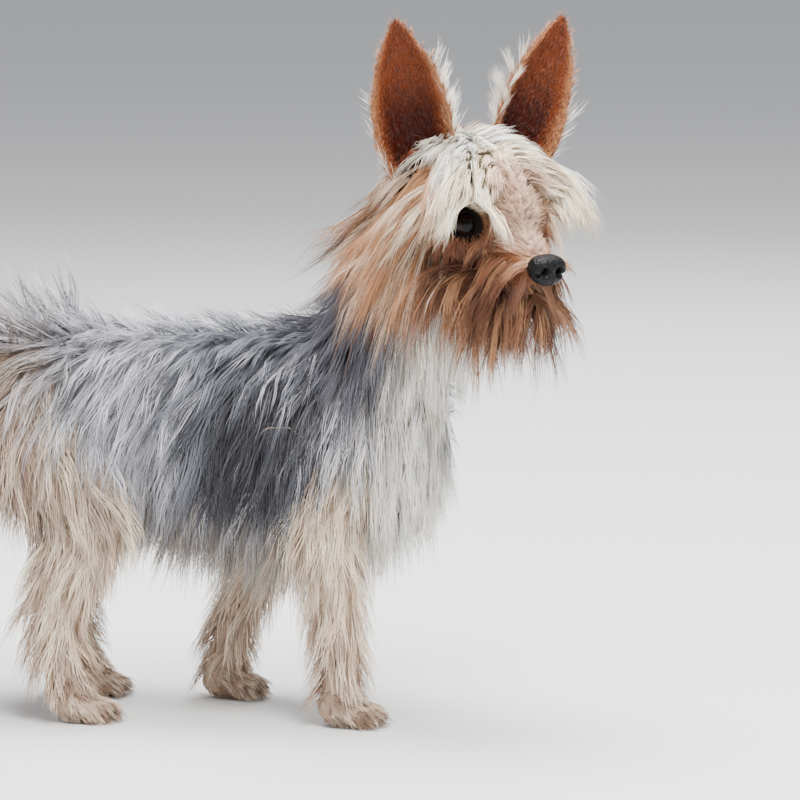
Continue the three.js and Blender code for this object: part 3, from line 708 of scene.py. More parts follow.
def clear_of_skin(points, least, around=None):
    """Points moved out until they stand a least distance over the skin."""
    gap, out = skin_gap(points, around)
    push = np.clip(least - gap, 0, 40)
    moved = points + out * push[:, None]
    moved[:, 2] = np.maximum(moved[:, 2], 0.8)
    return moved


EYE_CLEAR = {-1: 10.5, 1: 8.5}


def before_eye(points, sign):
    """Where points stand in front of an eye: ahead of it, to its outer side and over it."""
    look = unit(HEAD_AHEAD + HEAD_LEFT * sign * 0.5 + HEAD_UP * 0.3)
    flank = unit(np.cross(HEAD_UP, look)) * sign
    over = np.cross(look, flank) * sign
    away = points - on_head(25, sign * EYE_APART, -4)
    return away @ look, away @ flank, away @ over, flank


def beside_eyes(roots):
    """For each eye, which hairs pass it on its outer side."""
    return {sign: before_eye(roots, sign)[1] > -1 for sign in SIDES.values()}


def clear_of_eyes(points, outer):
    """Hair that would hang over an eye is laid beside it."""
    for sign in SIDES.values():
        ahead, side, rise, flank = before_eye(points, sign)
        height = np.where(rise > 0, rise, np.maximum(-rise - 3, 0) * 1.5)
        needed = np.sqrt(np.maximum(EYE_CLEAR[sign] ** 2 - height**2, 0))
        target = np.where(outer[sign], np.maximum(side, needed), np.minimum(side, -needed))
        shift = np.where((ahead > 0) & (ahead < 45) & (np.abs(side) < 14), target - side, 0)
        points = points + flank * shift[:, None]
    return points


def off_eyes(points):
    """Which hairs leave both eyes free."""
    free = np.ones(len(points), bool)
    for share in (0.0, 0.25, 0.5, 0.75, 1.0):
        between = points[:, :-1] * (1 - share) + points[:, 1:] * share
        for sign in SIDES.values():
            ahead, side, rise, _ = before_eye(between.reshape(-1, 3), sign)
            over = (ahead > 0) & (np.hypot(side, rise) < 0.74 * EYE_CLEAR[sign])
            free &= ~over.reshape(len(points), -1).any(1)
    return free


def grow(p, style, steps):
    """Leaders from places on the skin: an array of points, root first."""
    count = len(p.points)
    wobble = rng.normal(0, 1, (count, 3))
    way = (
        -p.along * style["back"][:, None]
        + p.around * style["down"][:, None]
        + p.normals * style["lift"][:, None]
        + style["toward"]
    )
    way = unit(unit(way) + wobble * style["mess"][:, None])
    length = style["length"] * rng.uniform(0.78, 1.15, count)
    points = [p.points - p.normals * style["root"][:, None]]
    outer = beside_eyes(p.points)
    sway = unit(np.cross(p.normals, way))
    phase = rng.uniform(0, 2 * math.pi, count)
    for k in range(1, steps + 1):
        share = k / steps
        way = unit(way + GRAVITY * (style["fall"] * share * 1.6 / steps * 2)[:, None])
        bend = sway * (style["wave"] * np.sin(phase + share * 5.5))[:, None]
        point = points[-1] + unit(way + bend) * (length / steps)[:, None]
        least = p.coat * style["high"] * np.minimum(1, share * 1.25) * rng.uniform(0.55, 1.0, count)
        point = clear_of_skin(point, np.maximum(least, 0.5))
        if style["face"]:
            point = clear_of_eyes(point, outer)
        way = unit(point - points[-1])
        points.append(point)
    return np.stack(points, 1)


def hairs_of(p, leaders, leader_roots, steps, gather, frizz, style, length_spread=0.18):
    """Hairs that start at their own roots and close in on the nearest leader."""
    tree = KDTree(len(leader_roots))
    for i, root in enumerate(leader_roots):
        tree.insert(root, i)
    tree.balance()
    nearest = np.array([tree.find(point)[1] for point in p.points])
    guide = leaders[nearest]
    count = len(p.points)
    reach = (1 + rng.normal(0, length_spread, count)).clip(0.45, 1.35)[:, None, None]
    shape = (guide - guide[:, :1]) * reach
    share = np.linspace(0, 1, steps + 1)[None, :, None]
    offset = (p.points - p.normals * style["root"][nearest][:, None] - guide[:, 0])[:, None, :]
    pull = 1 - gather[:, None, None] * share**1.1
    drift = rng.normal(0, 1, (count, 1, 3)) * frizz[:, None, None] * share**1.5
    points = guide[:, :1] + shape + offset * pull + drift
    flat = points[:, 1:].reshape(-1, 3)
    rest = 0.4 + 0.15 * p.coat * style["high"][nearest]
    least = np.repeat(rest, steps) * np.tile(np.linspace(0.5, 1, steps), count)
    flat = clear_of_skin(flat, least)
    if style["face"]:
        outer = {sign: np.repeat(flags, steps) for sign, flags in beside_eyes(p.points).items()}
        flat = clear_of_eyes(flat, outer)
    points[:, 1:] = flat.reshape(count, steps, 3)
    return points, nearest


PROFILE = {2: (1.0, 0.8), 3: (0.9, 1.0, 0.62), 4: (0.85, 1.0, 0.85, 0.5), 5: (0.8, 1.0, 0.95, 0.75, 0.42)}


def unwrapped(p):
    """Each place on an unwrap of the skin: a strip for each part, along it and round it."""
    strip = 1 / len(limbs)
    u = 0.02 + 0.95 * p.t
    v = strip * (p.part + 0.05 + 0.9 * (p.turn + 180) / 360)
    on_ear = p.ear != 0
    u = np.where(on_ear, 0.5 + 0.45 * np.clip(p.ear_up, 0, 1.05), u)
    v = np.where(on_ear, strip * (3.1 + 0.2 * (p.ear > 0) + 0.07 * (p.ear_side + 1) + 0.4 * p.ear_inside), v)
    return np.stack([u, v], 1)


def hair_mesh(name, points, outward, width, thickness, colours, uv):
    """Closed three-sided spindles along the hairs, as one mesh with markings and the bake's map."""
    count, rings = points.shape[0], points.shape[1] - 1
    tangent = np.empty((count, rings, 3))
    tangent[:, 0] = points[:, 1] - points[:, 0]
    tangent[:, 1:] = points[:, 2:] - points[:, :-2]
    tangent = unit(tangent)
    side = unit(np.cross(tangent, outward[:, None, :]))
    rise = np.cross(side, tangent)
    profile = np.array(PROFILE[rings])[None, :, None]
    half = width[:, None, None] * 0.5 * profile
    flat = thickness[:, None, None] * 0.5 * profile
    corners = [side * half - rise * flat * 0.5, rise * flat, -side * half - rise * flat * 0.5]
    body = np.stack([points[:, :-1] + corner for corner in corners], 2).reshape(count, rings * 3, 3)
    everything = np.concatenate([body, points[:, -1:]], 1).reshape(-1, 3)
    each = rings * 3 + 1
    faces = [0, 2, 1]
    starts = [0]
    for k in range(rings - 1):
        for i in range(3):
            j = (i + 1) % 3
            starts.append(len(faces))
            faces += [3 * k + i, 3 * k + j, 3 * k + 3 + j, 3 * k + 3 + i]
    for i in range(3):
        starts.append(len(faces))
        faces += [3 * rings - 3 + i, 3 * rings - 3 + (i + 1) % 3, 3 * rings]
    loops = (np.array(faces)[None, :] + np.arange(count)[:, None] * each).ravel()
    begin = (np.array(starts)[None, :] + np.arange(count)[:, None] * len(faces)).ravel()
    mesh = bpy.data.meshes.new(name)
    mesh.vertices.add(count * each)
    mesh.vertices.foreach_set("co", metres(everything).ravel())
    mesh.loops.add(len(loops))
    mesh.loops.foreach_set("vertex_index", loops.astype(np.int32))
    mesh.polygons.add(len(begin))
    mesh.polygons.foreach_set("loop_start", begin.astype(np.int32))
    mesh.update(calc_edges=True)
    mesh.shade_smooth()
    # each hair runs from 0.78 of its colour at the root to 1.18 at the tip: partly the hair's own darker roots and
    # paler tips, partly painted shade deep in the coat
    share = np.concatenate([np.repeat(np.arange(rings), 3), [rings]]) / rings
    give_markings(mesh, (colours[:, None, :] * (0.78 + 0.4 * share[None, :, None] ** 0.8)).reshape(-1, 3))
    place = np.empty((count, each, 2))
    place[:, :, 0] = uv[:, None, 0] + TUFT_PATCH * share[None, :]
    place[:, :, 1] = uv[:, None, 1] + TUFT_PATCH * np.append(np.tile([0.0, 0.5, 1.0], rings), 0.5)[None, :]
    layer = mesh.uv_layers.new(name="OFBake")
    layer.data.foreach_set("uv", place.reshape(-1, 2)[loops].ravel())
    return mesh


def style_for(p, **values):
    """The lie of the hair at each place, one number or one for each place."""
    count = len(p.points)
    base = dict(back=0.3, down=1.0, lift=0.25, fall=0.6, wave=0.12, mess=0.12, length=40.0, high=0.8, root=0.6)
    base.update(values)
    toward = base.pop("toward", np.zeros((count, 3)))
    face = base.pop("face", False)
    made = {key: np.broadcast_to(np.asarray(value, float), (count,)).copy() for key, value in base.items()}
    made["toward"] = np.asarray(toward, float)
    made["face"] = face
    return made


COAT = coat_material("long silky coat", 260, 0.45, 0.08, 0.3)
coat_count = 0


def make_coat(
    name, choose, leaders, hairs, steps, lie, width, gather=0.75, frizz=1.6, vary=0.16, tint=None
):
    """One region of the coat. choose gives each place's share of the hairs, lie its style."""
    global coat_count
    middles = skin_at[skin_triangles].mean(1)
    normals = unit(skin_normals[skin_triangles].mean(1))
    p = Places(middles, normals)
    weight = choose(p)
    some = weight > 0
    leading = scatter(skin_triangles[some], leaders, weight[some])
    style = lie(leading)
    led = grow(leading, style, steps)
    shade = rng.normal(0, 1, (leaders, 1))
    mixed = rng.random(leaders)
    roots = scatter(skin_triangles[some], hairs, weight[some])
    spread = np.full(hairs, gather) * rng.uniform(0.75, 1.1, hairs)
    points, nearest = hairs_of(
        roots, led, leading.points, steps, spread.clip(0, 0.97), np.full(hairs, frizz), style
    )
    free = np.abs(points[:, :, 1] + SHIFT[1]).max(1) < WIDEST
    if style["face"]:
        free &= off_eyes(points)
    if not free.all():
        points, nearest, hairs = points[free], nearest[free], int(free.sum())
        roots = Places(roots.points[free], roots.normals[free])
    colours = markings(roots)
    colours = vary_colour(roots, colours, mixed[nearest])
    if tint is not None:
        colours = blend(colours, tint, np.full(hairs, 0.8))
    colours = colours * (1 + vary * shade[nearest] + rng.normal(0, vary * 0.6, (hairs, 1)))
    colours = np.clip(colours, 0.004, 0.95)
    uv = unwrapped(roots)
    wide = width * rng.uniform(0.75, 1.2, hairs)
    pieces = math.ceil(hairs * (4 + 6 * (steps - 1)) / 195000)
    order = np.argsort(uv[:, 0], kind="stable")
    for number, chosen in enumerate(np.array_split(order, pieces), 1):
        mesh = hair_mesh(
            f"{name}_{number}", points[chosen], roots.normals[chosen], wide[chosen], wide[chosen] * 0.55,
            colours[chosen], uv[chosen],
        )
        mesh.materials.append(COAT)
        piece = add_object(f"{name}_{number}", mesh)
        coat_count += len(chosen) * (4 + 6 * (steps - 1))


def vary_colour(p, colours, lock):
    """Locks of another shade among the rest: ink and silver on the back, cream on cheeks and legs."""
    lock = lock[:]
    trunk = ((p.part == 0) | (p.part == 4)) & (np.abs(p.turn) < 120)
    x = p.points[:, 0]
    flank = flank_dark_hair_and_shade(x, np.abs(p.turn))
    # more ink locks and fewer silver ones where the flank carries dark hair and painted shade
    dark = trunk & (lock < 0.12 + 0.5 * flank)
    colours = np.where(dark[:, None], colours * 0.3 + INK * 0.7, colours)
    light = trunk & (lock > 0.72 + 0.22 * flank)
    colours = np.where(light[:, None], colours * 0.4 + SILVER * 0.75, colours)
    cheek = (p.part == 2) & (p.ear == 0) & (lock > 0.62) & (p.head[:, 0] < 24) & (p.head[:, 2] > -12)
    colours = np.where(cheek[:, None], colours * 0.5 + CREAM * 0.5, colours)
    lips = ((p.part == 3) | (p.part == 2) & (p.head[:, 0] > 34) & (p.head[:, 2] < -12)) & (lock > 0.68)
    colours = np.where(lips[:, None], colours * 0.4 + GOLD * 0.6, colours)
    leg = p.is_leg & (lock > 0.6)
    colours = np.where(leg[:, None], colours * 0.4 + CREAM * 0.6, colours)
    warm = p.is_leg & (lock < 0.22)
    return np.where(warm[:, None], colours * 0.45 + WARM * 0.55, colours)


# Trunk: hair parts along the spine and falls to each side, longest on flank and belly. Over the croup it
# stands up, ruffled.
def trunk_lie(p):
    x, turn = p.points[:, 0], np.abs(p.turn)
    croup = ramp(-x, 36, 80) * (1 - ramp(turn, 25, 60))
    back = 1 - ramp(turn, 15, 50)
    chest = ramp(x, 98, 118)
    return style_for(
        p,
        back=0.4 - 0.25 * chest + 0.5 * croup,
        down=(0.35 + 0.65 * ramp(turn, 5, 30)) * (1 - 0.6 * croup),
        lift=0.14 + 0.22 * back + 1.0 * croup,
        fall=(0.35 + 0.5 * ramp(turn, 40, 100)) * (1 - 0.9 * croup),
        mess=0.12 + 0.2 * croup,
        wave=0.2 + 0.1 * croup,
        length=34 + 12 * ramp(turn, 20, 70) - 8 * chest + 8 * croup,
        high=0.7 + 0.3 * back,
    )


make_coat(
    "coat_trunk", lambda p: (p.part == 0) * (p.ear == 0) * 1.0,
    2400, 18500, 4, trunk_lie, 0.52, gather=0.64,
)


# Neck: dense hair that runs back and down over the withers, and forward to the bib at the chest.
def neck_lie(p):
    turn = np.abs(p.turn)
    return style_for(
        p, back=1.0, down=0.35, lift=0.22, fall=0.3 + 0.5 * ramp(turn, 60, 120), length=42, high=0.75, wave=0.18
    )


make_coat(
    "coat_neck", lambda p: (p.part == 1) * (p.ear == 0) * 1.0,
    500, 5000, 4, neck_lie, 0.54, gather=0.68,
)


# Head: the hair of each part of the face has its own length and way. These say where each part is.
def head_parts(p):
    f, l, u = p.head[:, 0], np.abs(p.head[:, 1]), p.head[:, 2]
    bare = np.minimum(*[
        np.linalg.norm(p.points - on_head(29, sign * (EYE_APART + 2.5), -4), axis=1) for sign in SIDES.values()
    ])
    own = (p.part == 2) & (p.ear == 0) & (bare > 8.8)
    crown = own & (u > 13) & (f < 17) & (l < 27) & ~((f < -4) & (l > 17))
    brow = own & ~crown & (u > 1) & (f >= 15) & (f < 36) & (l > 5)
    bridge = own & ~crown & ~brow & (f >= 17) & (u > -12 - 0.1 * l) & (l < 15)
    lips = own & ~bridge & ~brow & (f >= 36)
    below = own & ~bridge & ~brow & (f >= 14) & (f < 36)
    cheek = own & ~crown & ~brow & ~bridge & ~below & ~lips
    return f, l, u, dict(crown=crown, brow=brow, bridge=bridge, lips=lips, below=below, cheek=cheek)


def on_part(name):
    return lambda p: head_parts(p)[3][name] * 1.0


def head_ways(p, ahead, out, up):
    """A way in the head's own frame, the same on both sides."""
    side = np.sign(p.head[:, 1])[:, None]
    ahead, out, up = (np.broadcast_to(v, (len(p.points),))[:, None] for v in (ahead, out, up))
    return ahead * HEAD_AHEAD + out * side * HEAD_LEFT + up * HEAD_UP


# The crown is sleek and falls to both sides from the middle.
def crown_lie(p):
    f, l, u, _ = head_parts(p)
    return style_for(
        p, back=0, down=0, lift=0.1, fall=0.35 + 0.6 * ramp(l, 7, 16), mess=0.1, wave=0.1,
        length=14 + 24 * ramp(l, 9 + 5 * ramp(f, 2, 12), 19) * ramp(f, -22, 0), high=0.22 + 0.12 * ramp(l, 8, 20), face=True,
        toward=head_ways(p, 0.7 * ramp(f, -24, -6) - 0.5 * ramp(-f, 22, 32) - 0.35 * ramp(f, 4, 16), 0.8, 0.0),
    )


make_coat("coat_crown", on_part("crown"), 300, 4900, 3, crown_lie, 0.55, gather=0.58, frizz=0.8)


# Brow locks arch forward and out over the eyes, and hang down outside them.
def brow_lie(p):
    f, l, u, _ = head_parts(p)
    return style_for(
        p, back=0, down=0, lift=0.4, fall=1.0, mess=0.1, wave=0.06, length=15 + 19 * ramp(l, 12, 17), high=0.3, face=True,
        toward=head_ways(p, 0.55, 0.55, 0.35),
    )


make_coat("coat_brow", on_part("brow"), 110, 2500, 4, brow_lie, 0.54, gather=0.74, frizz=1.1)


# Short hair on the bridge of the muzzle lies back and to the sides, away from the nose.
def bridge_lie(p):
    f, l, u, _ = head_parts(p)
    return style_for(
        p, back=0, down=0, lift=0.25, fall=0.15, mess=0.12, wave=0.05, high=0.08,
        length=6 + 5 * ramp(f, 40, 60) * ramp(l, 3, 9), toward=head_ways(p, -0.8, 0.35, 0.0), face=True,
    )


make_coat("coat_bridge", on_part("bridge"), 260, 2600, 3, bridge_lie, 0.36, gather=0.5, frizz=0.4)


# Below the eye the hair is short and red, and lies back along the cheek.
def below_lie(p):
    f, l, u, _ = head_parts(p)
    return style_for(
        p, back=0.3, down=0.9, lift=0.2, fall=0.4, mess=0.12, wave=0.06, high=0.2,
        length=9 + 26 * ramp(-u, 14, 24), face=True,
    )


make_coat("coat_under_eye", on_part("below"), 240, 2600, 3, below_lie, 0.44, gather=0.6, frizz=0.6)


# A ring of short fur round each eye lies outward from the lids.
def round_eyes(p):
    ring = np.zeros(len(p.points))
    for sign in SIDES.values():
        ahead, side, rise, _ = before_eye(p.points, sign)
        radius = np.hypot(side, rise)
        ring += (ahead > -6) * (radius > 7.2) * (radius < 17)
    return (p.part == 2) * (p.ear == 0) * np.minimum(ring, 1)


def ring_lie(p):
    way = np.zeros((len(p.points), 3))
    for sign in SIDES.values():
        ahead, side, rise, flank = before_eye(p.points, sign)
        near = np.hypot(side, rise) < 17
        middle = on_head(25, sign * EYE_APART, -4)
        way = np.where(near[:, None], unit(p.points - middle), way)
    return style_for(
        p, back=0.1, down=0.3, lift=0.1, fall=0.1, mess=0.12, wave=0.03, length=5.0, high=0.05, root=0.3,
        toward=way,
    )


make_coat("coat_eye_ring", round_eyes, 700, 2600, 2, ring_lie, 0.34, gather=0.3, frizz=0.3)


# The moustache sweeps down and back from the sides of the nose.
def lips_lie(p):
    f, l, u, _ = head_parts(p)
    turn = np.abs(p.turn)
    return style_for(
        p, back=0.35, down=0.9, lift=0.4, fall=0.75, mess=0.12, wave=0.12,
        length=17 + 16 * ramp(turn, 55, 110), high=0.5, face=True,
    )


make_coat("coat_moustache", on_part("lips"), 110, 2400, 4, lips_lie, 0.46, gather=0.7, frizz=1.0)


# Long cheek hair hangs down and a little back, over the throat.
def cheek_lie(p):
    f, l, u, _ = head_parts(p)
    turn = np.abs(p.turn)
    return style_for(
        p, back=0.3, down=0.9, lift=0.35, fall=0.5 + 0.3 * ramp(turn, 60, 100), mess=0.11, wave=0.13,
        length=30 + 24 * ramp(turn, 35, 75) + 12 * ramp(f, -8, 8) * ramp(turn, 70, 100),
        high=0.3 + 0.5 * ramp(turn, 35, 80), face=True,
    )


def cheek_share(p):
    return on_part("cheek")(p) * (1 + 1.2 * ramp(p.head[:, 0], -12, 8))


make_coat("coat_cheeks", cheek_share, 400, 8500, 4, cheek_lie, 0.52, gather=0.74, frizz=1.3)


# Beard: stiff wavy hair hanging from lips and chin.
def beard_lie(p):
    return style_for(p, back=0.0, down=0.5, lift=0.3, fall=0.9, mess=0.16, wave=0.2, length=42, high=0.5)


make_coat("coat_beard", lambda p: (p.part == 3) * 1.0, 120, 2500, 4, beard_lie, 0.5, gather=0.72)


# Legs: shaggy hair down to the paws, with feathering behind.
def leg_lie(p):
    turn, z = np.abs(p.turn), p.points[:, 2]
    return style_for(
        p,
        back=-1.0,
        down=0.1 + 0.3 * ramp(turn, 100, 150),
        lift=0.14 + 0.15 * ramp(turn, 120, 160),
        fall=0.55,
        mess=0.12,
        wave=0.22,
        length=14 + 16 * ramp(z, 20, 70) + 6 * ramp(turn, 110, 150),
        high=0.5 * ramp(z, 4, 30) + 0.1,
    )


make_coat("coat_legs", lambda p: p.is_leg * (~p.paw) * 1.0, 1300, 10500, 4, leg_lie, 0.53, gather=0.66)


# Paws: short hair that lies over the toes.
def paw_lie(p):
    return style_for(
        p, back=-0.2, down=0.2, lift=0.3, fall=0.5, mess=0.14, wave=0.08, length=8.0, high=0.12, root=0.3,
        toward=np.tile(AHEAD * 0.8, (len(p.points), 1)),
    )


make_coat(
    "coat_paws", lambda p: p.paw * (p.points[:, 2] > 2.5) * 1.0, 800, 4500, 2, paw_lie, 0.45,
    gather=0.35, frizz=0.5,
)


# Tail: a plume of long hair from root to tip.
def tail_lie(p):
    turn = np.abs(p.turn)
    return style_for(p, back=-0.9, down=0.3, lift=0.35, fall=0.5, mess=0.16, wave=0.2, length=26 + 10 * ramp(turn, 90, 150), high=0.7)


make_coat("coat_tail", lambda p: (p.part == 4) * 1.0, 150, 2200, 4, tail_lie, 0.74, gather=0.75)


# Ears: short dense fur that lies towards the tip, dark in the cup, a little longer on the edges.
def ear_lie(p):
    return style_for(
        p, back=0.0, down=0.0, lift=0.5, fall=0.0, mess=0.12, wave=0.05, root=0.2,
        length=4.2 + 1.5 * ramp(np.abs(p.ear_side), 0.85, 1.0), high=0.0, toward=p.ear_out * 1.2,
    )


make_coat(
    "coat_ears", lambda p: (p.ear != 0) * 1.0, 2600, 11000, 2, ear_lie, 0.38, gather=0.2, frizz=0.3,
    vary=0.13,
)


# Pale wisps stand up from the foot of each ear: many along the inner edge, few along the outer.
def fringe_share(p):
    inner = -p.ear * p.ear_side
    return (p.ear != 0) * (
        ramp(inner, 0.6, 0.95) * (1 - ramp(p.ear_up, 0.45, 0.75)) + 0.2 * ramp(-inner, 0.7, 0.95) * (1 - ramp(p.ear_up, 0.4, 0.6))
    )


def fringe_lie(p):
    inner = -p.ear * p.ear_side
    inward = -np.sign(p.ear)[:, None] * HEAD_LEFT
    return style_for(
        p, back=0.0, down=0.0, lift=0.2, fall=0.0, mess=0.24, wave=0.15, length=13.5, high=0.0,
        toward=p.ear_out * 1.1 + inward * 0.45 * np.sign(inner)[:, None],
    )


make_coat(
    "coat_ear_fringe", fringe_share, 60, 900, 3, fringe_lie, 0.3, gather=0.4, frizz=1.6,
    tint=IVORY,
)


# Eyes: dark balls under a clear cornea, brown iris round a wide pupil.
def eye_material():
    made = bpy.data.materials.new("eye glass")
    made.use_nodes = True
    nodes, links = made.node_tree.nodes, made.node_tree.links
    shader = nodes["Principled BSDF"]
    ring = nodes.new("ShaderNodeAttribute")
    ring.attribute_name = "from_pupil"
    colours = nodes.new("ShaderNodeValToRGB")
    stops = colours.color_ramp.elements
    stops[0].position, stops[0].color = 0.30, (0.002, 0.0015, 0.0015, 1)
    stops[1].position, stops[1].color = 0.42, (0.011, 0.005, 0.003, 1)
    for place, colour in ((0.66, (0.009, 0.004, 0.003, 1)), (0.85, (0.003, 0.002, 0.002, 1))):
        stop = stops.new(place)
        stop.color = colour
    fibres = nodes.new("ShaderNodeTexNoise")
    fibres.inputs["Scale"].default_value = 900
    mix = nodes.new("ShaderNodeMix")
    mix.data_type = "RGBA"
    mix.blend_type = "MULTIPLY"
    mix.inputs["Factor"].default_value = 0.5
    links.new(ring.outputs["Fac"], colours.inputs["Fac"])
    links.new(colours.outputs["Color"], mix.inputs["A"])
    links.new(fibres.outputs["Color"], mix.inputs["B"])
    links.new(mix.outputs["Result"], shader.inputs["Base Color"])
    shader.inputs["Roughness"].default_value = 0.05
    shader.inputs["Specular IOR Level"].default_value = 0.10
    shader.inputs["Coat Weight"].default_value = 0.05
    shader.inputs["Coat Roughness"].default_value = 0.02
    return made


EYE_GLASS = eye_material()
LID_SKIN = bpy.data.materials.new("lid skin")
LID_SKIN.use_nodes = True
lid_nodes = LID_SKIN.node_tree.nodes
lid_shader = lid_nodes["Principled BSDF"]
lid_noise = lid_nodes.new("ShaderNodeTexNoise")
lid_noise.inputs["Scale"].default_value = 1500
lid_colour = lid_nodes.new("ShaderNodeValToRGB")
lid_colour.color_ramp.elements[0].color = (0.003, 0.002, 0.002, 1)
lid_colour.color_ramp.elements[1].color = (0.008, 0.005, 0.004, 1)
LID_SKIN.node_tree.links.new(lid_noise.outputs["Fac"], lid_colour.inputs["Fac"])
LID_SKIN.node_tree.links.new(lid_colour.outputs["Color"], lid_shader.inputs["Base Color"])
lid_shader.inputs["Roughness"].default_value = 0.7
lid_shader.inputs["Specular IOR Level"].default_value = 0.03
for side, sign in SIDES.items():
    look = unit(HEAD_AHEAD + HEAD_LEFT * sign * 0.45)
    flank = unit(np.cross(HEAD_UP, look))
    over = np.cross(look, flank)
    middle = on_head(25, sign * EYE_APART, -4)
    tilts = np.linspace(0, math.pi, 40)[1:-1]
    turns = np.linspace(0, 2 * math.pi, 48, endpoint=False)
    ball = Hide()
    bulge = EYE_R + 0.7 * np.exp(-((tilts / 0.55) ** 4))
    rows = [
        middle
        + math.cos(tilt) * r * look
        + np.outer(np.cos(turns) * math.sin(tilt) * r, flank)
        - np.outer(np.sin(turns) * math.sin(tilt) * r, over)
        for tilt, r in zip(tilts, bulge)
    ]
    ball.rings(rows, middle + look * (EYE_R + 0.7), middle - look * EYE_R)
    eye_mesh = ball.mesh(f"eyeball_{side}")
    from_pupil = eye_mesh.attributes.new("from_pupil", "FLOAT", "POINT")
    away = np.repeat(np.degrees(tilts) / 60, 48)
    from_pupil.data.foreach_set("value", np.append(away, [0.0, 3.0]))
    eye_mesh.materials.append(EYE_GLASS)
    eye_mesh.shade_smooth()
    eye = add_object(f"eyeball_{side}", eye_mesh)
    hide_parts(f"eye_{side}")
    # lids: two dark folds that leave an almond gap
    lid = Hide()
    gap_wide, gap_high = math.radians(58), math.radians(47)
    edge = 1 / np.sqrt((np.cos(turns) / gap_wide) ** 2 + (np.sin(turns) / gap_high) ** 2)
    rows = []
    for share, r in ((0.0, 8.9), (0.02, 9.8), (0.10, 10.3), (0.35, 10.4), (0.7, 10.2), (1.0, 9.4), (1.0, 8.9)):
        tilt = edge + (math.radians(100) - edge) * share
        rows.append(
            middle
            + np.outer(np.cos(tilt) * r, look)
            + np.outer(np.cos(turns) * np.sin(tilt) * r, flank)
            - np.outer(np.sin(turns) * np.sin(tilt) * r, over)
        )
    rows.append(rows[0])
    count = len(lid.points)
    for row in rows[:-1]:
        lid.points.extend(row)
    sides, depth = 48, len(rows) - 1
    for k in range(depth):
        for i in range(sides):
            j = (i + 1) % sides
            below = ((k + 1) % depth) * sides
            lid.faces.append((k * sides + i, k * sides + j, below + j, below + i))
    lid_mesh = lid.mesh(f"eyelids_{side}")
    lid_mesh.materials.append(LID_SKIN)
    lid_mesh.shade_smooth()
    add_object(f"eyelids_{side}", lid_mesh)


# Nose: bare pebbled leather, black, moist, with comma-shaped nostrils and a groove down the middle.
NOSE_SIZE = np.array([7.0, 10.5, 8.2])
nose_at = on_head(73, 0, -17)
nose_turns = np.linspace(0, 2 * math.pi, 96, endpoint=False)
nose_rows = []
for tilt in np.linspace(0, math.pi, 60)[1:-1]:
    round_it = np.stack([
        np.full(96, math.cos(tilt)),
        np.cos(nose_turns) * math.sin(tilt),
        -np.sin(nose_turns) * math.sin(tilt),
    ], 1)
    boxy = np.sum(np.abs(round_it) ** 2.6, 1, keepdims=True) ** (-1 / 2.6)
    spot = round_it * boxy * NOSE_SIZE
    x, y, z = spot.T
    z = z * np.where(z < 0, 1 - 0.10 * np.abs(y) / 10, 1.0)
    y = y * (1 - 0.22 * np.clip(-z / 8, 0, 1))
    front = np.clip(x / 7, 0, 1)
    hole = np.exp(-(((np.abs(y) - 4.1) / 2.0) ** 2 + ((z - 0.6) / 2.1) ** 2))
    slit = np.exp(-(((np.abs(y) - 7.6) / 2.6) ** 2 + ((z + 1.6) / 0.9) ** 2))
    groove = np.exp(-((y / 0.7) ** 2)) * np.clip((3 - z) / 5, 0, 1)
    x = x - front * (5.2 * hole + 0.5 * groove) - 1.6 * slit
    y = y - np.sign(y) * 1.4 * slit
    nose_rows.append(nose_at + np.outer(x, HEAD_AHEAD) + np.outer(y, HEAD_LEFT) + np.outer(z, HEAD_UP))
nose_form = Hide()
nose_form.rings(nose_rows, nose_at + HEAD_AHEAD * NOSE_SIZE[0] * 0.96, nose_at - HEAD_AHEAD * NOSE_SIZE[0])
nose_mesh = nose_form.mesh("nose_leather")
nose_mesh.shade_smooth()
leather = bpy.data.materials.new("nose leather")
leather.use_nodes = True
nodes, links = leather.node_tree.nodes, leather.node_tree.links
shader = nodes["Principled BSDF"]
place = nodes.new("ShaderNodeTexCoord")
cells = nodes.new("ShaderNodeTexVoronoi")
cells.inputs["Scale"].default_value = 950
links.new(place.outputs["Object"], cells.inputs["Vector"])
# each pebble is darker towards its edge, where the bump sinks it: painted shade in the grooves
nose_black_and_groove_shade = nodes.new("ShaderNodeValToRGB")
nose_black_and_groove_shade.color_ramp.elements[0].color = (0.0045, 0.0045, 0.005, 1)
nose_black_and_groove_shade.color_ramp.elements[1].color = (0.0015, 0.0015, 0.0018, 1)
links.new(cells.outputs["Distance"], nose_black_and_groove_shade.inputs["Fac"])
links.new(nose_black_and_groove_shade.outputs["Color"], shader.inputs["Base Color"])
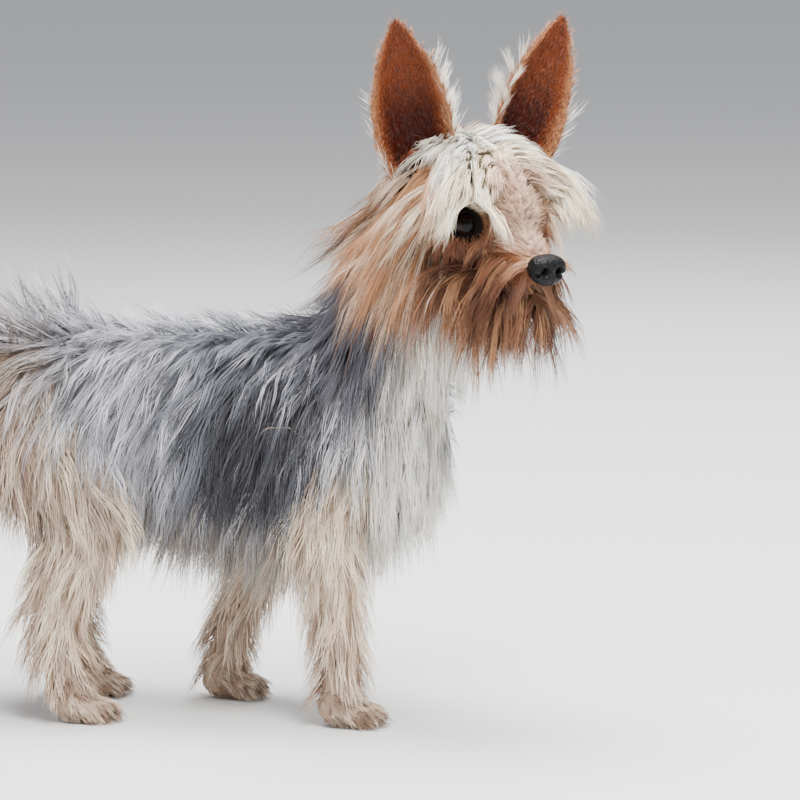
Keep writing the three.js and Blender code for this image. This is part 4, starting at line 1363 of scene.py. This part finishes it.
pebbles = nodes.new("ShaderNodeBump")
pebbles.invert = True
pebbles.inputs["Strength"].default_value = 0.9
pebbles.inputs["Distance"].default_value = 0.0006
links.new(cells.outputs["Distance"], pebbles.inputs["Height"])
links.new(pebbles.outputs["Normal"], shader.inputs["Normal"])
shader.inputs["Roughness"].default_value = 0.34
shader.inputs["Specular IOR Level"].default_value = 0.13
shader.inputs["Coat Weight"].default_value = 0.06
shader.inputs["Coat Roughness"].default_value = 0.25
nose_mesh.materials.append(leather)
nose = add_object("nose_leather", nose_mesh)
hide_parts("nose")


# Claws: a short curved dark horn at the end of each toe, hidden in part by the hair.
horn = bpy.data.materials.new("claw horn")
horn.use_nodes = True
nodes, links = horn.node_tree.nodes, horn.node_tree.links
grain = nodes.new("ShaderNodeTexNoise")
grain.inputs["Scale"].default_value = 700
tone = nodes.new("ShaderNodeValToRGB")
tone.color_ramp.elements[0].color = (0.012, 0.010, 0.009, 1)
tone.color_ramp.elements[1].color = (0.055, 0.042, 0.034, 1)
links.new(grain.outputs["Fac"], tone.inputs["Fac"])
links.new(tone.outputs["Color"], nodes["Principled BSDF"].inputs["Base Color"])
nodes["Principled BSDF"].inputs["Roughness"].default_value = 0.35
claws = Hide()
for at in PAWS:
    for k, across in enumerate((-8, -3, 3, 8)):
        start = at + ((19.5 if k in (1, 2) else 15.5), across, 7.0)
        turns = np.linspace(0, 2 * math.pi, 12, endpoint=False)
        rows = []
        for share in np.linspace(0, 0.92, 7):
            bend = 0.95 * share
            middle = start + (4.6 * math.sin(bend), 0, -5.2 * (1 - math.cos(bend)) - 1.2 * share)
            r = 1.25 * (1 - share) ** 0.6 + 0.12
            rows.append(middle + np.outer(np.cos(turns) * r * 0.8, LEFT) + np.outer(np.sin(turns) * r, UP))
        claws.rings(rows, start - AHEAD * 2, rows[-1].mean(0) + (0.4, 0, -0.5))
claw_mesh = claws.mesh("claws")
claw_mesh.materials.append(horn)
claw_mesh.shade_smooth()
add_object("claws", claw_mesh)

print("coat triangles", coat_count)
